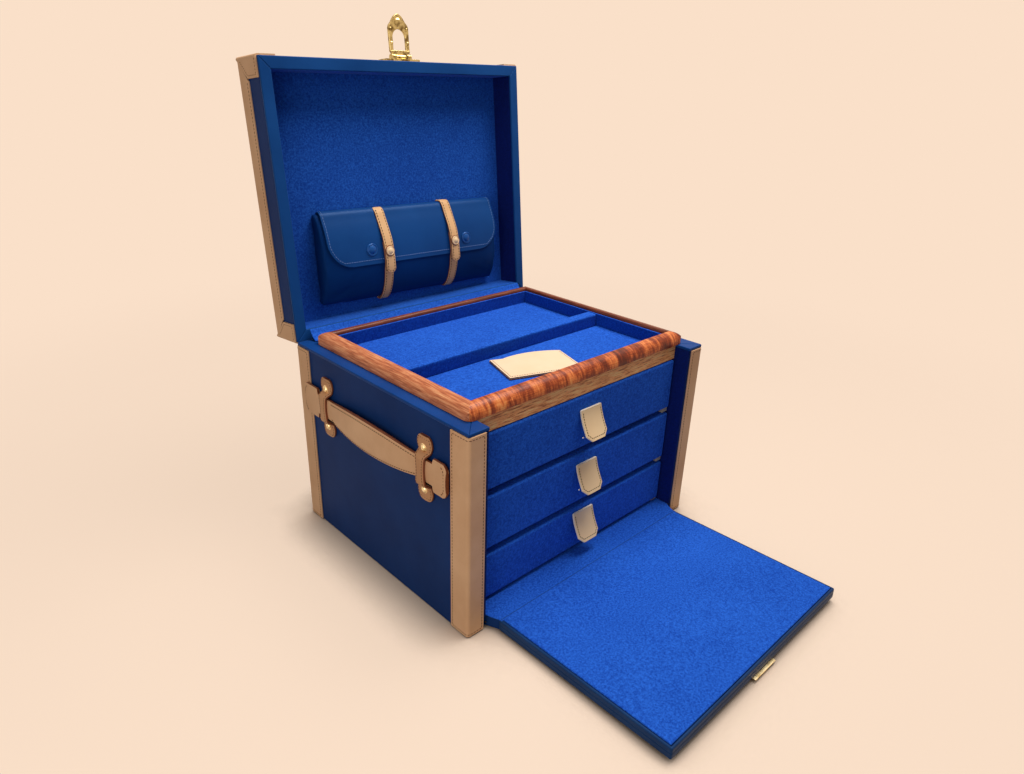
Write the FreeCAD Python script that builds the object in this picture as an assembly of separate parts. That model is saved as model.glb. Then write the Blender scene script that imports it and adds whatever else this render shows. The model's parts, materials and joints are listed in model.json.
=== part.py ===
import FreeCAD, Part
import math
import os

# Leather jewellery case with a hinged lid, a drop front, three drawers and a lift-out wooden tray.
# Millimetres, +Z up, +X to the right, front towards -Y, origin at the middle of the underside.
# The lid stands open and the drop front lies down, as the case is photographed.

# case
case_width = 297.0
case_depth = 247.0
wall_height = 183.0
leather_thickness = 1.5
wall_board = 16.0
wall_lining = 2.0
bottom_leather = 1.2
bottom_board = 7.8
floor_lining = 1.5
rim_thickness = 3.0
rim_overhang = 0.8
trim_thickness = 1.5
trim_lift = 0.6
side_trim_leg = 21.5
front_trim_leg = 17.5
back_trim_leg = 21.5

# hinges
hinge_play = 0.3
pin_clearance = 0.05
front_pin_radius = 0.8
front_knuckle_radius = 1.7
front_leaf_thickness = 0.9
front_leaf_reach = 22.0
front_leaf_length = 236.0
front_hinge_height = 3.0
front_knuckles = 9
lid_pin_radius = 1.0
lid_knuckle_radius = 2.0
lid_leaf_thickness = 1.0
lid_leaf_reach = 20.0
lid_leaf_length = 220.0
lid_knuckles = 9
lid_hinge_inset = 0.1
lid_hinge_drop = 0.7
lid_open_angle = 95.4

# drop front
panel_side_gap = 5.0
panel_setback = 12.0
panel_top_gap = 0.5
panel_leather = 1.2
panel_board = 8.0
panel_lining = 2.0
panel_border = 1.6
strip_thickness = 1.0
strip_gap = 0.3
catch_width = 31.0
catch_reach = 20.0
catch_overhang = 2.5
catch_plate = 1.0
staple_height = 1.8
staple_width = 8.0
staple_length = 8.0
staple_wire = 2.0
staple_overhang = 0.5

# drawers, from the bottom up
drawer_names = ("bottom", "middle", "top")
drawer_heights = (43.5, 50.0, 50.8)
tab_drops = (4.2, 9.1, 12.0)
drawer_recess = 13.5
drawer_side_gap = 1.5
drawer_front_board = 10.0
drawer_side_board = 7.0
drawer_bottom_board = 3.0
drawer_top_drop = 5.0
drawer_back_gap = 4.0
running_gap = 0.3
runner_width = 8.0
runner_height = 5.4
runner_setback = 3.0
floor_runner_height = 3.0
under_runner_gap = 0.5
tab_width = 27.5
tab_height = 29.5
tab_offset = 2.0
tab_thickness = 2.0
tab_flare = 1.5
tab_chamfer = 6.0

# tray
tray_drawer_gap = 1.1
tray_wall_gap = 1.0
tray_lid_gap = 0.4
tray_front_gap = 2.2
moulding_width = 13.0
nose_crest = 2.5
nose_flat = 0.7
nose_inner_drop = 2.5
nose_corner_radius = 7.0
band_step = 2.0
tray_floor_board = 4.0
tray_floor_lift = 4.0
tray_lining = 1.6
tray_lining_drop = 3.5
divider_thickness = 12.5
divider_offset = -5.75

# card pocket lying in the front compartment
pocket_width = 73.0
pocket_depth = 51.0
pocket_arch = 7.0
pocket_thickness = 2.4
pocket_turn = -18.8
pocket_x = -7.9
pocket_from_front = 60.0

# lid
lid_gap = 0.3
lid_depth = 38.5
lid_leather = 1.5
lid_board = 7.5
lid_lining = 1.5
lid_rim = 2.5
lid_top_board = 7.0
lid_top_lining = 2.0
edge_trim_leg = 17.0
edge_trim_thickness = 1.2
corner_trim_leg = 18.5
gusset_length = 272.0
gusset_thickness = 1.0

# latch
latch_plate_width = 39.0
latch_plate_height = 14.0
latch_plate_thickness = 2.0
latch_plate_lift = 2.0
latch_ear_width = 5.0
latch_ear_radius = 3.0
latch_pin_radius = 1.2
latch_axis_lift = 6.5
latch_axis_stand = 1.8
hasp_width = 24.0
hasp_length = 40.0
hasp_thickness = 2.0
hasp_barrel_width = 12.0
hasp_barrel_radius = 2.2
hasp_slot_width = 13.0
hasp_slot_start = 6.0
hasp_slot_length = 18.0
hasp_head_radius = 5.5
hasp_head_height = 3.0

# pouch held on the lid lining by two straps
pouch_centre = 8.0
pouch_width = 222.0
pouch_wall_gap = 11.0
pouch_height = 87.5
pouch_thickness = 12.5
pouch_round = 4.0
soft_gap = 0.2
flap_thickness = 1.5
flap_length = 51.5
flap_corner = 28.0
pouch_snap_radius = 6.2
pouch_snap_height = 1.8
pouch_snap_spacing = 122.0
pouch_snap_from_edge = 15.0
strap_spacing = 85.0
strap_width = 11.0
strap_thickness = 1.8
strap_tip = 62.5
strap_lap = 31.0
strap_snap_radius = 4.4
strap_snap_height = 1.8
strap_snap_from_tip = 22.0

# handles on the two sides
handle_height = 137.0
handle_shift = 3.75
handle_length = 212.5
handle_neck = 21.0
handle_end_height = 30.5
handle_end_length = 17.0
grip_height = 29.0
grip_length = 118.0
grip_bow = 3.0
handle_thickness = 5.0
keeper_spacing = 146.0
keeper_width = 20.0
keeper_waist = 11.0
keeper_length = 57.5
keeper_thickness = 2.5
keeper_flat = 13.5
rivet_radius = 3.0
rivet_height = 1.8
rivet_from_end = 10.25


def point(x, y, z):
    return FreeCAD.Vector(x, y, z)


def block(x, y, z):
    return Part.makeBox(x[1] - x[0], y[1] - y[0], z[1] - z[0], point(x[0], y[0], z[0]))


def centred(length):
    return (-length / 2, length / 2)


def prism(points, sweep):
    return Part.Face(Part.makePolygon(points + points[:1])).extrude(sweep)


def outline_prism(edges, sweep):
    return Part.Face(Part.Wire(edges)).extrude(sweep)


def line(a, b):
    return Part.LineSegment(a, b).toShape()


def arc(a, mid, b):
    return Part.Arc(a, mid, b).toShape()


def rod_x(x, y, z, radius):
    return Part.makeCylinder(radius, x[1] - x[0], point(x[0], y, z), point(1, 0, 0))


def dome(centre, direction, radius, height):
    ball_radius = (radius * radius + height * height) / (2 * height)
    depth = ball_radius - height
    latitude = math.degrees(math.asin(depth / ball_radius))
    return Part.makeSphere(ball_radius, centre - direction * depth, direction, latitude, 90, 360)


def other_side(shape):
    return shape.mirror(point(0, 0, 0), point(1, 0, 0))


def turned_x(shape, y, z, degrees):
    copy = shape.copy()
    copy.rotate(point(0, y, z), point(1, 0, 0), degrees)
    return copy


def hinge_leaf(length, reach, radius, plate_low, thickness, pin_radius, count, first):
    # leaf of a piano hinge: axis on X at the origin, plate towards +Y
    plate_bottom = (plate_low, plate_low + thickness)
    leaf = block(centred(length), (radius + hinge_play, reach), plate_bottom)
    pitch = length / count
    for i in range(first, count, 2):
        start = -length / 2 + i * pitch
        span = (start + hinge_play / 2, start + pitch - hinge_play / 2)
        web = block(span, (0, radius + 2 * hinge_play), plate_bottom)
        leaf = leaf.fuse(web).fuse(rod_x(span, 0, 0, radius))
    bore = rod_x(centred(length + 2), 0, 0, pin_radius + pin_clearance)
    return leaf.cut(bore).removeSplitter()


def turned_leaf(leaf, y, z, degrees):
    placed = leaf.copy()
    placed.rotate(point(0, 0, 0), point(1, 0, 0), degrees)
    placed.translate(point(0, y, z))
    return placed


def flipped_leaf(leaf):
    return leaf.mirror(point(0, 0, 0), point(0, 1, 0))


half_width = case_width / 2
half_depth = case_depth / 2
board_face = half_width - leather_thickness
board_inner = board_face - wall_board
lined_face = board_inner - wall_lining
back_face = half_depth - leather_thickness
back_inner = back_face - wall_board
back_lined = back_inner - wall_lining
front_end = -back_face
floor_top = bottom_leather + bottom_board
lining_top = floor_top + floor_lining
rim_top = wall_height + rim_thickness
trim_face = half_depth + trim_thickness

front_hinge_y = -trim_face + front_hinge_height
floor_front = front_hinge_y + front_knuckle_radius + hinge_play
front_leaf_low = front_hinge_height - front_knuckle_radius
lid_hinge_y = half_depth - lid_hinge_inset
lid_low = rim_top + lid_gap
lid_hinge_z = rim_top - lid_hinge_drop
lid_top = lid_low + lid_depth
# room for the back hinge's knuckles in the edges of both rims
knuckle_room = block(
    centred(lid_leaf_length + 4 + 2 * hinge_play),
    (lid_hinge_y - lid_knuckle_radius - hinge_play, half_depth + 1),
    (wall_height - 1, lid_top),
)

nodes = {}

# case boards, leather and lining
wall_z = (bottom_leather, wall_height)
nodes["left_wall_board"] = block((-board_face, -board_inner), (front_end, back_face), wall_z)
nodes["right_wall_board"] = other_side(nodes["left_wall_board"])
nodes["back_wall_board"] = block((-board_inner, board_inner), (back_inner, back_face), wall_z)

leaf_rebate = block(
    centred(front_leaf_length + 2 * hinge_play),
    (floor_front - 1, front_hinge_y + front_leaf_reach + hinge_play),
    (bottom_leather, front_leaf_low + front_leaf_thickness + hinge_play),
)
bottom_span = (floor_front, back_inner)
bottom_slab = block((-board_inner, board_inner), bottom_span, (bottom_leather, floor_top))
nodes["bottom_board"] = bottom_slab.cut(leaf_rebate)
nodes["bottom_leather"] = block((-board_face, board_face), (floor_front, back_face), (0, bottom_leather))

skin_z = (trim_lift, wall_height)
skin = block((-half_width, half_width), (-half_depth, half_depth), skin_z)
skin = skin.cut(block((-board_face, board_face), (front_end, back_face), skin_z))
front_opening = block((-board_inner, board_inner), (-half_depth - 1, front_end + 1), skin_z)
nodes["case_leather"] = skin.cut(front_opening)

lining_z = (lining_top, wall_height)
side_lining = block((-board_inner, -lined_face), (-half_depth, back_inner), lining_z)
back_lining = block((-lined_face, lined_face), (back_lined, back_inner), lining_z)
floor_sheet = block((-board_inner, board_inner), bottom_span, (floor_top, lining_top))
nodes["case_lining"] = Part.makeCompound([side_lining, other_side(side_lining), back_lining, floor_sheet])

# leather rim on the wall tops, mitred at the back corners
rim_outer = half_width + rim_overhang
rim_front = -half_depth - rim_overhang
rim_sweep = point(0, 0, rim_thickness)
side_rim = prism(
    [
        point(-rim_outer, rim_front, wall_height),
        point(-lined_face, rim_front, wall_height),
        point(-lined_face, back_lined, wall_height),
        point(-rim_outer, half_depth, wall_height),
    ],
    rim_sweep,
)
back_rim = prism(
    [
        point(-lined_face, back_lined, wall_height),
        point(lined_face, back_lined, wall_height),
        point(rim_outer, half_depth, wall_height),
        point(-rim_outer, half_depth, wall_height),
    ],
    rim_sweep,
)
nodes["rim_binding"] = Part.makeCompound([side_rim, other_side(side_rim), back_rim.cut(knuckle_room)])


def corner_trim(side_leg, end_leg):
    # tan leather angle over the front left upright
    outer_x = -half_width - trim_thickness
    section = [
        point(outer_x, -trim_face, trim_lift),
        point(outer_x + end_leg, -trim_face, trim_lift),
        point(outer_x + end_leg, -half_depth, trim_lift),
        point(-half_width, -half_depth, trim_lift),
        point(-half_width, -trim_face + side_leg, trim_lift),
        point(outer_x, -trim_face + side_leg, trim_lift),
    ]
    return prism(section, point(0, 0, wall_height - trim_lift))


front_trim = corner_trim(side_trim_leg, front_trim_leg)
back_trim = corner_trim(side_trim_leg, back_trim_leg).mirror(point(0, 0, 0), point(0, 1, 0))
case_trims = [front_trim, other_side(front_trim), back_trim, other_side(back_trim)]
nodes["case_corner_trims"] = Part.makeCompound(case_trims)


# handles: a bowed strap with broad ends, held by two waisted keepers
def handle_strap():
    inner = -half_width - trim_thickness - soft_gap
    ends = handle_length / 2
    bow_end = grip_length / 2
    outer = inner - handle_thickness
    low = handle_height - grip_height
    plan = outline_prism(
        [
            line(point(inner, -ends, low), point(inner, -bow_end, low)),
            arc(point(inner, -bow_end, low), point(inner - grip_bow, 0, low), point(inner, bow_end, low)),
            line(point(inner, bow_end, low), point(inner, ends, low)),
            line(point(inner, ends, low), point(outer, ends, low)),
            line(point(outer, ends, low), point(outer, bow_end, low)),
            arc(point(outer, bow_end, low), point(outer - grip_bow, 0, low), point(outer, -bow_end, low)),
            line(point(outer, -bow_end, low), point(outer, -ends, low)),
            line(point(outer, -ends, low), point(inner, -ends, low)),
        ],
        point(0, 0, 2 * grip_height),
    )
    neck = handle_neck / 2
    head = handle_end_height / 2
    head_start = ends - handle_end_length
    base = outer - 2 * grip_bow
    mid = handle_height

    def at(y, dz):
        return point(base, y, mid + dz)

    top = [
        line(at(-ends, head), at(-head_start, head)),
        line(at(-head_start, head), at(-head_start, neck)),
        line(at(-head_start, neck), at(-bow_end, neck)),
        arc(at(-bow_end, neck), at(0, grip_height / 2), at(bow_end, neck)),
        line(at(bow_end, neck), at(head_start, neck)),
        line(at(head_start, neck), at(head_start, head)),
        line(at(head_start, head), at(ends, head)),
    ]
    bottom = [
        line(at(ends, -head), at(head_start, -head)),
        line(at(head_start, -head), at(head_start, -neck)),
        line(at(head_start, -neck), at(bow_end, -neck)),
        arc(at(bow_end, -neck), at(0, -grip_height / 2), at(-bow_end, -neck)),
        line(at(-bow_end, -neck), at(-head_start, -neck)),
        line(at(-head_start, -neck), at(-head_start, -head)),
        line(at(-head_start, -head), at(-ends, -head)),
    ]
    right = [line(at(ends, head), at(ends, -head))]
    left = [line(at(-ends, -head), at(-ends, head))]
    face = outline_prism(top + right + bottom + left, point(inner - base + 1, 0, 0))
    strap = plan.common(face)
    strap.translate(point(0, handle_shift, 0))
    return strap


def handle_keeper(y):
    foot = -half_width
    bridge = -half_width - trim_thickness - handle_thickness - 2 * soft_gap
    half = keeper_length / 2
    rise = half - keeper_flat
    inside = handle_neck / 2 + soft_gap
    section = [
        point(foot, 0, -half),
        point(foot, 0, -inside - soft_gap),
        point(bridge, 0, -inside),
        point(bridge, 0, inside),
        point(foot, 0, inside + soft_gap),
        point(foot, 0, half),
        point(foot - keeper_thickness, 0, half),
        point(foot - keeper_thickness, 0, rise),
        point(bridge - keeper_thickness, 0, inside),
        point(bridge - keeper_thickness, 0, -inside),
        point(foot - keeper_thickness, 0, -rise),
        point(foot - keeper_thickness, 0, -half),
    ]
    strap = prism(section, point(0, keeper_width, 0))
    strap.translate(point(0, y - keeper_width / 2, handle_height))
    ends = keeper_width / 2
    waist = keeper_waist / 2
    base = bridge - 2 * keeper_thickness

    def at(dy, dz):
        return point(base, y + dy, handle_height + dz)

    outline = outline_prism(
        [
            arc(at(-ends, half - ends), at(0, half), at(ends, half - ends)),
            arc(at(ends, half - ends), at(waist, 0), at(ends, -half + ends)),
            arc(at(ends, -half + ends), at(0, -half), at(-ends, -half + ends)),
            arc(at(-ends, -half + ends), at(-waist, 0), at(-ends, half - ends)),
        ],
        point(foot - base + 1, 0, 0),
    )
    return strap.common(outline)


def keeper_rivets(y):
    reach = keeper_length / 2 - rivet_from_end
    seat = -half_width - keeper_thickness
    return [
        dome(point(seat, y, handle_height + dz), point(-1, 0, 0), rivet_radius, rivet_height)
        for dz in (-reach, reach)
    ]


nodes["left_handle_grip"] = handle_strap()
nodes["right_handle_grip"] = other_side(nodes["left_handle_grip"])
keepers = []
rivets = []
for y in centred(keeper_spacing):
    keepers.append(handle_keeper(y))
    rivets += keeper_rivets(y)
nodes["handle_keepers"] = Part.makeCompound(keepers + [other_side(k) for k in keepers])
nodes["handle_rivets"] = Part.makeCompound(rivets + [other_side(r) for r in rivets])

# drawers on their runners, from the bottom up
drawer_face = -half_depth + drawer_recess
drawer_half = lined_face - drawer_side_gap
box_front = drawer_face + drawer_front_board
box_back = back_lined - drawer_back_gap
side_inner = drawer_half - drawer_side_board


def pull_tab(top):
    low = top - tab_height
    outer = drawer_face - tab_thickness
    side = prism(
        [
            point(-tab_width / 2, drawer_face, top),
            point(-tab_width / 2, outer, top),
            point(-tab_width / 2, outer - tab_flare, low),
            point(-tab_width / 2, drawer_face - tab_flare, low),
            point(-tab_width / 2, drawer_face, top - tab_height / 2),
        ],
        point(tab_width, 0, 0),
    )
    half = tab_width / 2
    behind = outer - tab_flare - 1
    outline = prism(
        [
            point(-half, behind, top),
            point(half, behind, top),
            point(half, behind, low + tab_chamfer),
            point(half - tab_chamfer, behind, low),
            point(-half + tab_chamfer, behind, low),
            point(-half, behind, low + tab_chamfer),
        ],
        point(0, drawer_face - behind, 0),
    )
    tab = side.common(outline)
    tab.translate(point(tab_offset, 0, 0))
    return tab


runners = []
drawer_low = lining_top
runner_size = floor_runner_height
runner_y = (drawer_face + runner_setback, back_lined)
for name, height, tab_drop in zip(drawer_names, drawer_heights, tab_drops):
    runner_low = drawer_low
    runner_z = (runner_low, runner_low + runner_size)
    runner = block((-lined_face, -lined_face + runner_width), runner_y, runner_z)
    runners += [runner, other_side(runner)]
    drawer_low = runner_low + runner_size + running_gap
    front_z = (drawer_low, drawer_low + height)
    box_z = (drawer_low, drawer_low + height - drawer_top_drop)
    front = block((-drawer_half, drawer_half), (drawer_face, box_front), front_z)
    side = block((-drawer_half, -side_inner), (box_front, box_back), box_z)
    back = block((-side_inner, side_inner), (box_back - drawer_side_board, box_back), box_z)
    floor_z = (drawer_low, drawer_low + drawer_bottom_board)
    floor = block((-side_inner, side_inner), (box_front, box_back - drawer_side_board), floor_z)
    nodes[name + "_drawer_front"] = front
    nodes[name + "_drawer_box"] = Part.makeCompound([side, other_side(side), back, floor])
    nodes[name + "_drawer_tab"] = pull_tab(front_z[1] - tab_drop)
    drawer_low = front_z[1] + under_runner_gap
    runner_size = runner_height
nodes["drawer_runners"] = Part.makeCompound(runners)
drawer_stack_top = drawer_low - under_runner_gap

# drop front, laid out flat and then raised until its catch just meets the ground
panel_half = lined_face - panel_side_gap
panel_near = front_hinge_y - panel_setback
panel_far = front_hinge_y - (rim_top - panel_top_gap - front_hinge_height)
board_top = panel_leather + panel_board
catch_height = catch_plate + staple_height
staple_y = panel_far - staple_overhang
panel_tilt = math.degrees(math.asin(catch_height / (front_hinge_y - staple_y - staple_length)))


def raised(shape):
    return turned_x(shape, front_hinge_y, front_hinge_height, -panel_tilt)


panel_skin = block((-panel_half, panel_half), (panel_far, panel_near), (0, board_top))
panel_hollow = block(
    (-panel_half + panel_leather, panel_half - panel_leather),
    (panel_far + panel_leather, panel_near - panel_leather),
    (panel_leather, board_top),
)
panel_rebate = block(
    centred(front_leaf_length + 2 * hinge_play),
    (front_hinge_y - front_leaf_reach - hinge_play, panel_near + 1),
    (panel_leather, front_leaf_low + front_leaf_thickness + hinge_play),
)
panel_pad = block(
    (-panel_half + panel_border, panel_half - panel_border),
    (panel_far + panel_border, panel_near - panel_border),
    (board_top, board_top + panel_lining),
)
nodes["front_panel_leather"] = raised(panel_skin.cut(panel_hollow).cut(panel_rebate))
nodes["front_panel_board"] = raised(panel_hollow.cut(panel_rebate))
nodes["front_panel_lining"] = raised(panel_pad)

catch_y = (panel_far - catch_overhang, panel_far + catch_reach)
plate = block(centred(catch_width), catch_y, (-catch_plate, 0))
staple_span = (staple_y, staple_y + staple_length)
staple = block(centred(staple_width), staple_span, (-catch_height, -catch_plate))
staple_eye = block(
    centred(staple_width + 2),
    (staple_y + staple_wire, staple_y + staple_length - staple_wire),
    (-catch_height + staple_wire / 2, -catch_plate),
)
nodes["front_catch"] = raised(plate.fuse(staple.cut(staple_eye)))


def front_leaf(first):
    return hinge_leaf(
        front_leaf_length,
        front_leaf_reach,
        front_knuckle_radius,
        -front_knuckle_radius,
        front_leaf_thickness,
        front_pin_radius,
        front_knuckles,
        first,
    )


flat_panel_leaf = turned_leaf(flipped_leaf(front_leaf(1)), front_hinge_y, front_hinge_height, 0)
nodes["front_hinge_base_leaf"] = turned_leaf(front_leaf(0), front_hinge_y, front_hinge_height, 0)
nodes["front_hinge_panel_leaf"] = raised(flat_panel_leaf)
front_pin_span = (-lined_face + 2 * hinge_play, lined_face - 2 * hinge_play)
nodes["front_hinge_pin"] = rod_x(front_pin_span, front_hinge_y, front_hinge_height, front_pin_radius)

# leather and suede that bridge the front hinge
strip_y = (panel_near + strip_gap, floor_front - strip_gap)
leather_strip_z = (soft_gap, soft_gap + strip_thickness)
suede_strip_z = (lining_top - strip_thickness, lining_top)
nodes["front_hinge_leather"] = block((-panel_half, panel_half), strip_y, leather_strip_z)
nodes["front_hinge_suede"] = block((-panel_half, panel_half), strip_y, suede_strip_z)

# lift-out tray with a rounded, mitred wooden moulding that rests on the rim
lid_wall = lid_leather + lid_board + lid_lining
tray_outer_x = half_width - lid_wall - tray_lid_gap
tray_outer_y = half_depth - lid_wall - tray_lid_gap - tray_front_gap
tray_inner_x = tray_outer_x - moulding_width
tray_inner_y = tray_outer_y - moulding_width
tray_low = drawer_stack_top + tray_drawer_gap
nose_low = rim_top + running_gap
nose_radius = moulding_width - nose_crest
nose_centre = nose_low + nose_flat
crest = nose_centre + nose_radius


def moulding(lower_width, length):
    # section across +Y from the tray's inner face, run along X
    def at(across, z):
        return point(-length / 2, across, z)

    slope = math.sqrt(0.5) * nose_radius
    inner_top = crest - nose_inner_drop
    ease = math.sqrt(0.5)
    return outline_prism(
        [
            line(at(0, tray_low), at(0, inner_top)),
            arc(
                at(0, inner_top),
                at(nose_crest * (1 - ease), inner_top + nose_inner_drop * ease),
                at(nose_crest, crest),
            ),
            arc(
                at(nose_crest, crest),
                at(nose_crest + slope, nose_centre + slope),
                at(moulding_width, nose_centre),
            ),
            line(at(moulding_width, nose_centre), at(moulding_width, nose_low)),
            line(at(moulding_width, nose_low), at(lower_width, nose_low)),
            line(at(lower_width, nose_low), at(lower_width, tray_low)),
            line(at(lower_width, tray_low), at(0, tray_low)),
        ],
        point(length, 0, 0),
    )


def rounded_plan():
    plan = block(
        (-tray_outer_x, tray_outer_x), (-tray_outer_y, tray_outer_y), (tray_low, crest)
    )
    uprights = [e for e in plan.Edges if abs(e.tangentAt(e.FirstParameter).z) > 0.9]
    return plan.makeFillet(nose_corner_radius, uprights)


def mitred(strip, inner_half, outer_half, inner_y, outer_y):
    corner = prism(
        [
            point(-inner_half, inner_y, tray_low),
            point(inner_half, inner_y, tray_low),
            point(outer_half, outer_y, tray_low),
            point(-outer_half, outer_y, tray_low),
        ],
        point(0, 0, crest - tray_low),
    )
    return strip.common(corner)


def long_moulding(lower_width):
    strip = moulding(lower_width, 2 * tray_outer_x)
    strip.translate(point(0, tray_inner_y, 0))
    return mitred(strip, tray_inner_x, tray_outer_x, tray_inner_y, tray_outer_y)


def short_moulding(lower_width):
    strip = moulding(lower_width, 2 * tray_outer_y)
    strip.translate(point(0, tray_inner_x, 0))
    strip = mitred(strip, tray_inner_y, tray_outer_y, tray_inner_x, tray_outer_x)
    strip.rotate(point(0, 0, 0), point(0, 0, 1), 90)
    return strip


tray_plan = rounded_plan()
front_band = moulding_width - band_step
side_band = lined_face - tray_wall_gap - tray_inner_x
back_band = back_lined - tray_wall_gap - tray_inner_y
front_strip = long_moulding(front_band).common(tray_plan)
front_strip.rotate(point(0, 0, 0), point(0, 0, 1), 180)
band_ends = block((-tray_outer_x, -tray_inner_x - side_band), (-tray_outer_y, 0), (tray_low, nose_low))
nodes["tray_front_moulding"] = front_strip.cut(band_ends).cut(other_side(band_ends))
nodes["tray_back_moulding"] = long_moulding(back_band).common(tray_plan).cut(
    block((-tray_outer_x, -tray_inner_x - side_band), (0, tray_outer_y), (tray_low, nose_low))
).cut(block((tray_inner_x + side_band, tray_outer_x), (0, tray_outer_y), (tray_low, nose_low)))
side_strip = short_moulding(side_band).common(tray_plan)
side_strip = side_strip.cut(
    block((-tray_outer_x, tray_outer_x), (tray_inner_y + back_band, tray_outer_y), (tray_low, nose_low))
)
nodes["tray_left_moulding"] = side_strip
nodes["tray_right_moulding"] = other_side(side_strip)

tray_floor_low = tray_low + tray_floor_lift
tray_floor_top = tray_floor_low + tray_floor_board
lining_floor = tray_floor_top + tray_lining
lining_crest = crest - tray_lining_drop
tray_x = (-tray_inner_x, tray_inner_x)
tray_y = (-tray_inner_y, tray_inner_y)
lined_x = (-tray_inner_x + tray_lining, tray_inner_x - tray_lining)
lined_y = (-tray_inner_y + tray_lining, tray_inner_y - tray_lining)
nodes["tray_floor"] = block(tray_x, tray_y, (tray_floor_low, tray_floor_top))
nodes["tray_lining"] = block(tray_x, tray_y, (tray_floor_top, lining_crest)).cut(
    block(lined_x, lined_y, (lining_floor, lining_crest))
)
divider_y = (divider_offset - divider_thickness / 2, divider_offset + divider_thickness / 2)
nodes["tray_divider"] = block(lined_x, divider_y, (lining_floor, lining_crest))


# loose leather pocket in the tray
def card_pocket():
    low = lining_floor + soft_gap
    half = pocket_width / 2
    front = -pocket_depth / 2
    back = pocket_depth / 2 - pocket_arch
    outline = outline_prism(
        [
            line(point(-half, front, low), point(half, front, low)),
            line(point(half, front, low), point(half, back, low)),
            arc(point(half, back, low), point(0, back + pocket_arch, low), point(-half, back, low)),
            line(point(-half, back, low), point(-half, front, low)),
        ],
        point(0, 0, pocket_thickness),
    )
    outline.rotate(point(0, 0, 0), point(0, 0, 1), pocket_turn)
    outline.translate(point(pocket_x, -tray_outer_y + pocket_from_front, 0))
    return outline


nodes["card_pocket"] = card_pocket()


# lid, shut on the case and then swung open about the back hinge
def opened(shape):
    return turned_x(shape, lid_hinge_y, lid_hinge_z, -lid_open_angle)


skin_inner_x = half_width - lid_leather
skin_inner_y = half_depth - lid_leather
wall_inner_x = skin_inner_x - lid_board
wall_inner_y = skin_inner_y - lid_board
lined_lid_x = wall_inner_x - lid_lining
lined_lid_y = wall_inner_y - lid_lining
lid_wall_low = lid_low + lid_rim
top_board_high = lid_top - lid_leather
top_board_low = top_board_high - lid_top_board
lid_ceiling = top_board_low - lid_top_lining

lid_skin = block((-half_width, half_width), (-half_depth, half_depth), (lid_wall_low, lid_top))
core_z = (lid_wall_low, top_board_high)
lid_core = block((-skin_inner_x, skin_inner_x), (-skin_inner_y, skin_inner_y), core_z)
nodes["lid_leather"] = opened(lid_skin.cut(lid_core))
top_board_z = (top_board_low, top_board_high)
top_panel = block((-skin_inner_x, skin_inner_x), (-skin_inner_y, skin_inner_y), top_board_z)
nodes["lid_top_board"] = opened(top_panel)

lid_wall_z = (lid_wall_low, top_board_low)
lid_side = block((-skin_inner_x, -wall_inner_x), (-skin_inner_y, skin_inner_y), lid_wall_z)
lid_front = block((-wall_inner_x, wall_inner_x), (-skin_inner_y, -wall_inner_y), lid_wall_z)
lid_back = block((-wall_inner_x, wall_inner_x), (wall_inner_y, skin_inner_y), lid_wall_z)
lid_walls = Part.makeCompound([lid_side, other_side(lid_side), lid_front, lid_back])
nodes["lid_wall_boards"] = opened(lid_walls)

ceiling = block((-wall_inner_x, wall_inner_x), (-wall_inner_y, wall_inner_y), (lid_ceiling, top_board_low))
liner_z = (lid_wall_low, lid_ceiling)
side_liner = block((-wall_inner_x, -lined_lid_x), (-wall_inner_y, wall_inner_y), liner_z)
front_liner = block((-lined_lid_x, lined_lid_x), (-wall_inner_y, -lined_lid_y), liner_z)
back_liner = block((-lined_lid_x, lined_lid_x), (lined_lid_y, wall_inner_y), liner_z)
lid_lining_sheets = [ceiling, side_liner, other_side(side_liner), front_liner, back_liner]
nodes["lid_lining"] = opened(Part.makeCompound(lid_lining_sheets))


def lid_rim_strip(inner_half, outer_half, inner_edge, outer_edge):
    return prism(
        [
            point(-inner_half, inner_edge, lid_low),
            point(inner_half, inner_edge, lid_low),
            point(outer_half, outer_edge, lid_low),
            point(-outer_half, outer_edge, lid_low),
        ],
        point(0, 0, lid_rim),
    )


rim_back = lid_rim_strip(lined_lid_x, half_width, lined_lid_y, half_depth)
rim_side = lid_rim_strip(lined_lid_y, half_depth, lined_lid_x, half_width)
lid_rims = [rim_back.cut(knuckle_room)]
for turn, strip in ((180, rim_back), (90, rim_side), (270, rim_side)):
    turned = strip.copy()
    turned.rotate(point(0, 0, 0), point(0, 0, 1), turn)
    lid_rims.append(turned)
nodes["lid_rim"] = opened(Part.makeCompound(lid_rims))


# tan leather on the lid's outer edges and corners
def lid_cover(thickness, low):
    outer = block(
        (-half_width - thickness, half_width + thickness),
        (-half_depth - thickness, half_depth + thickness),
        (low, lid_top + thickness),
    )
    return outer.cut(block((-half_width, half_width), (-half_depth, half_depth), (low, lid_top)))


def corner_boxes(grow):
    reach_x = (half_width - corner_trim_leg, half_width + grow)
    reach_y = (half_depth - corner_trim_leg, half_depth + grow)
    tall = (lid_low, lid_top + grow)
    right_back = block(reach_x, reach_y, tall)
    left_back = other_side(right_back)
    front = [b.mirror(point(0, 0, 0), point(0, 1, 0)) for b in (right_back, left_back)]
    return [right_back, left_back] + front


corner_shell = lid_cover(trim_thickness, lid_wall_low)
lid_corners = [corner_shell.common(box) for box in corner_boxes(trim_thickness)]
nodes["lid_corner_trims"] = opened(Part.makeCompound(lid_corners))
edge_shell = lid_cover(edge_trim_thickness, lid_top - edge_trim_leg)
edge_shell = edge_shell.cut(
    block(
        (-half_width + edge_trim_leg, half_width - edge_trim_leg),
        (-half_depth + edge_trim_leg, half_depth - edge_trim_leg),
        (lid_top, lid_top + edge_trim_thickness),
    )
)
for box in corner_boxes(trim_thickness):
    edge_shell = edge_shell.cut(box)
nodes["lid_edge_trims"] = opened(Part.makeCompound(edge_shell.Solids))


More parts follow.
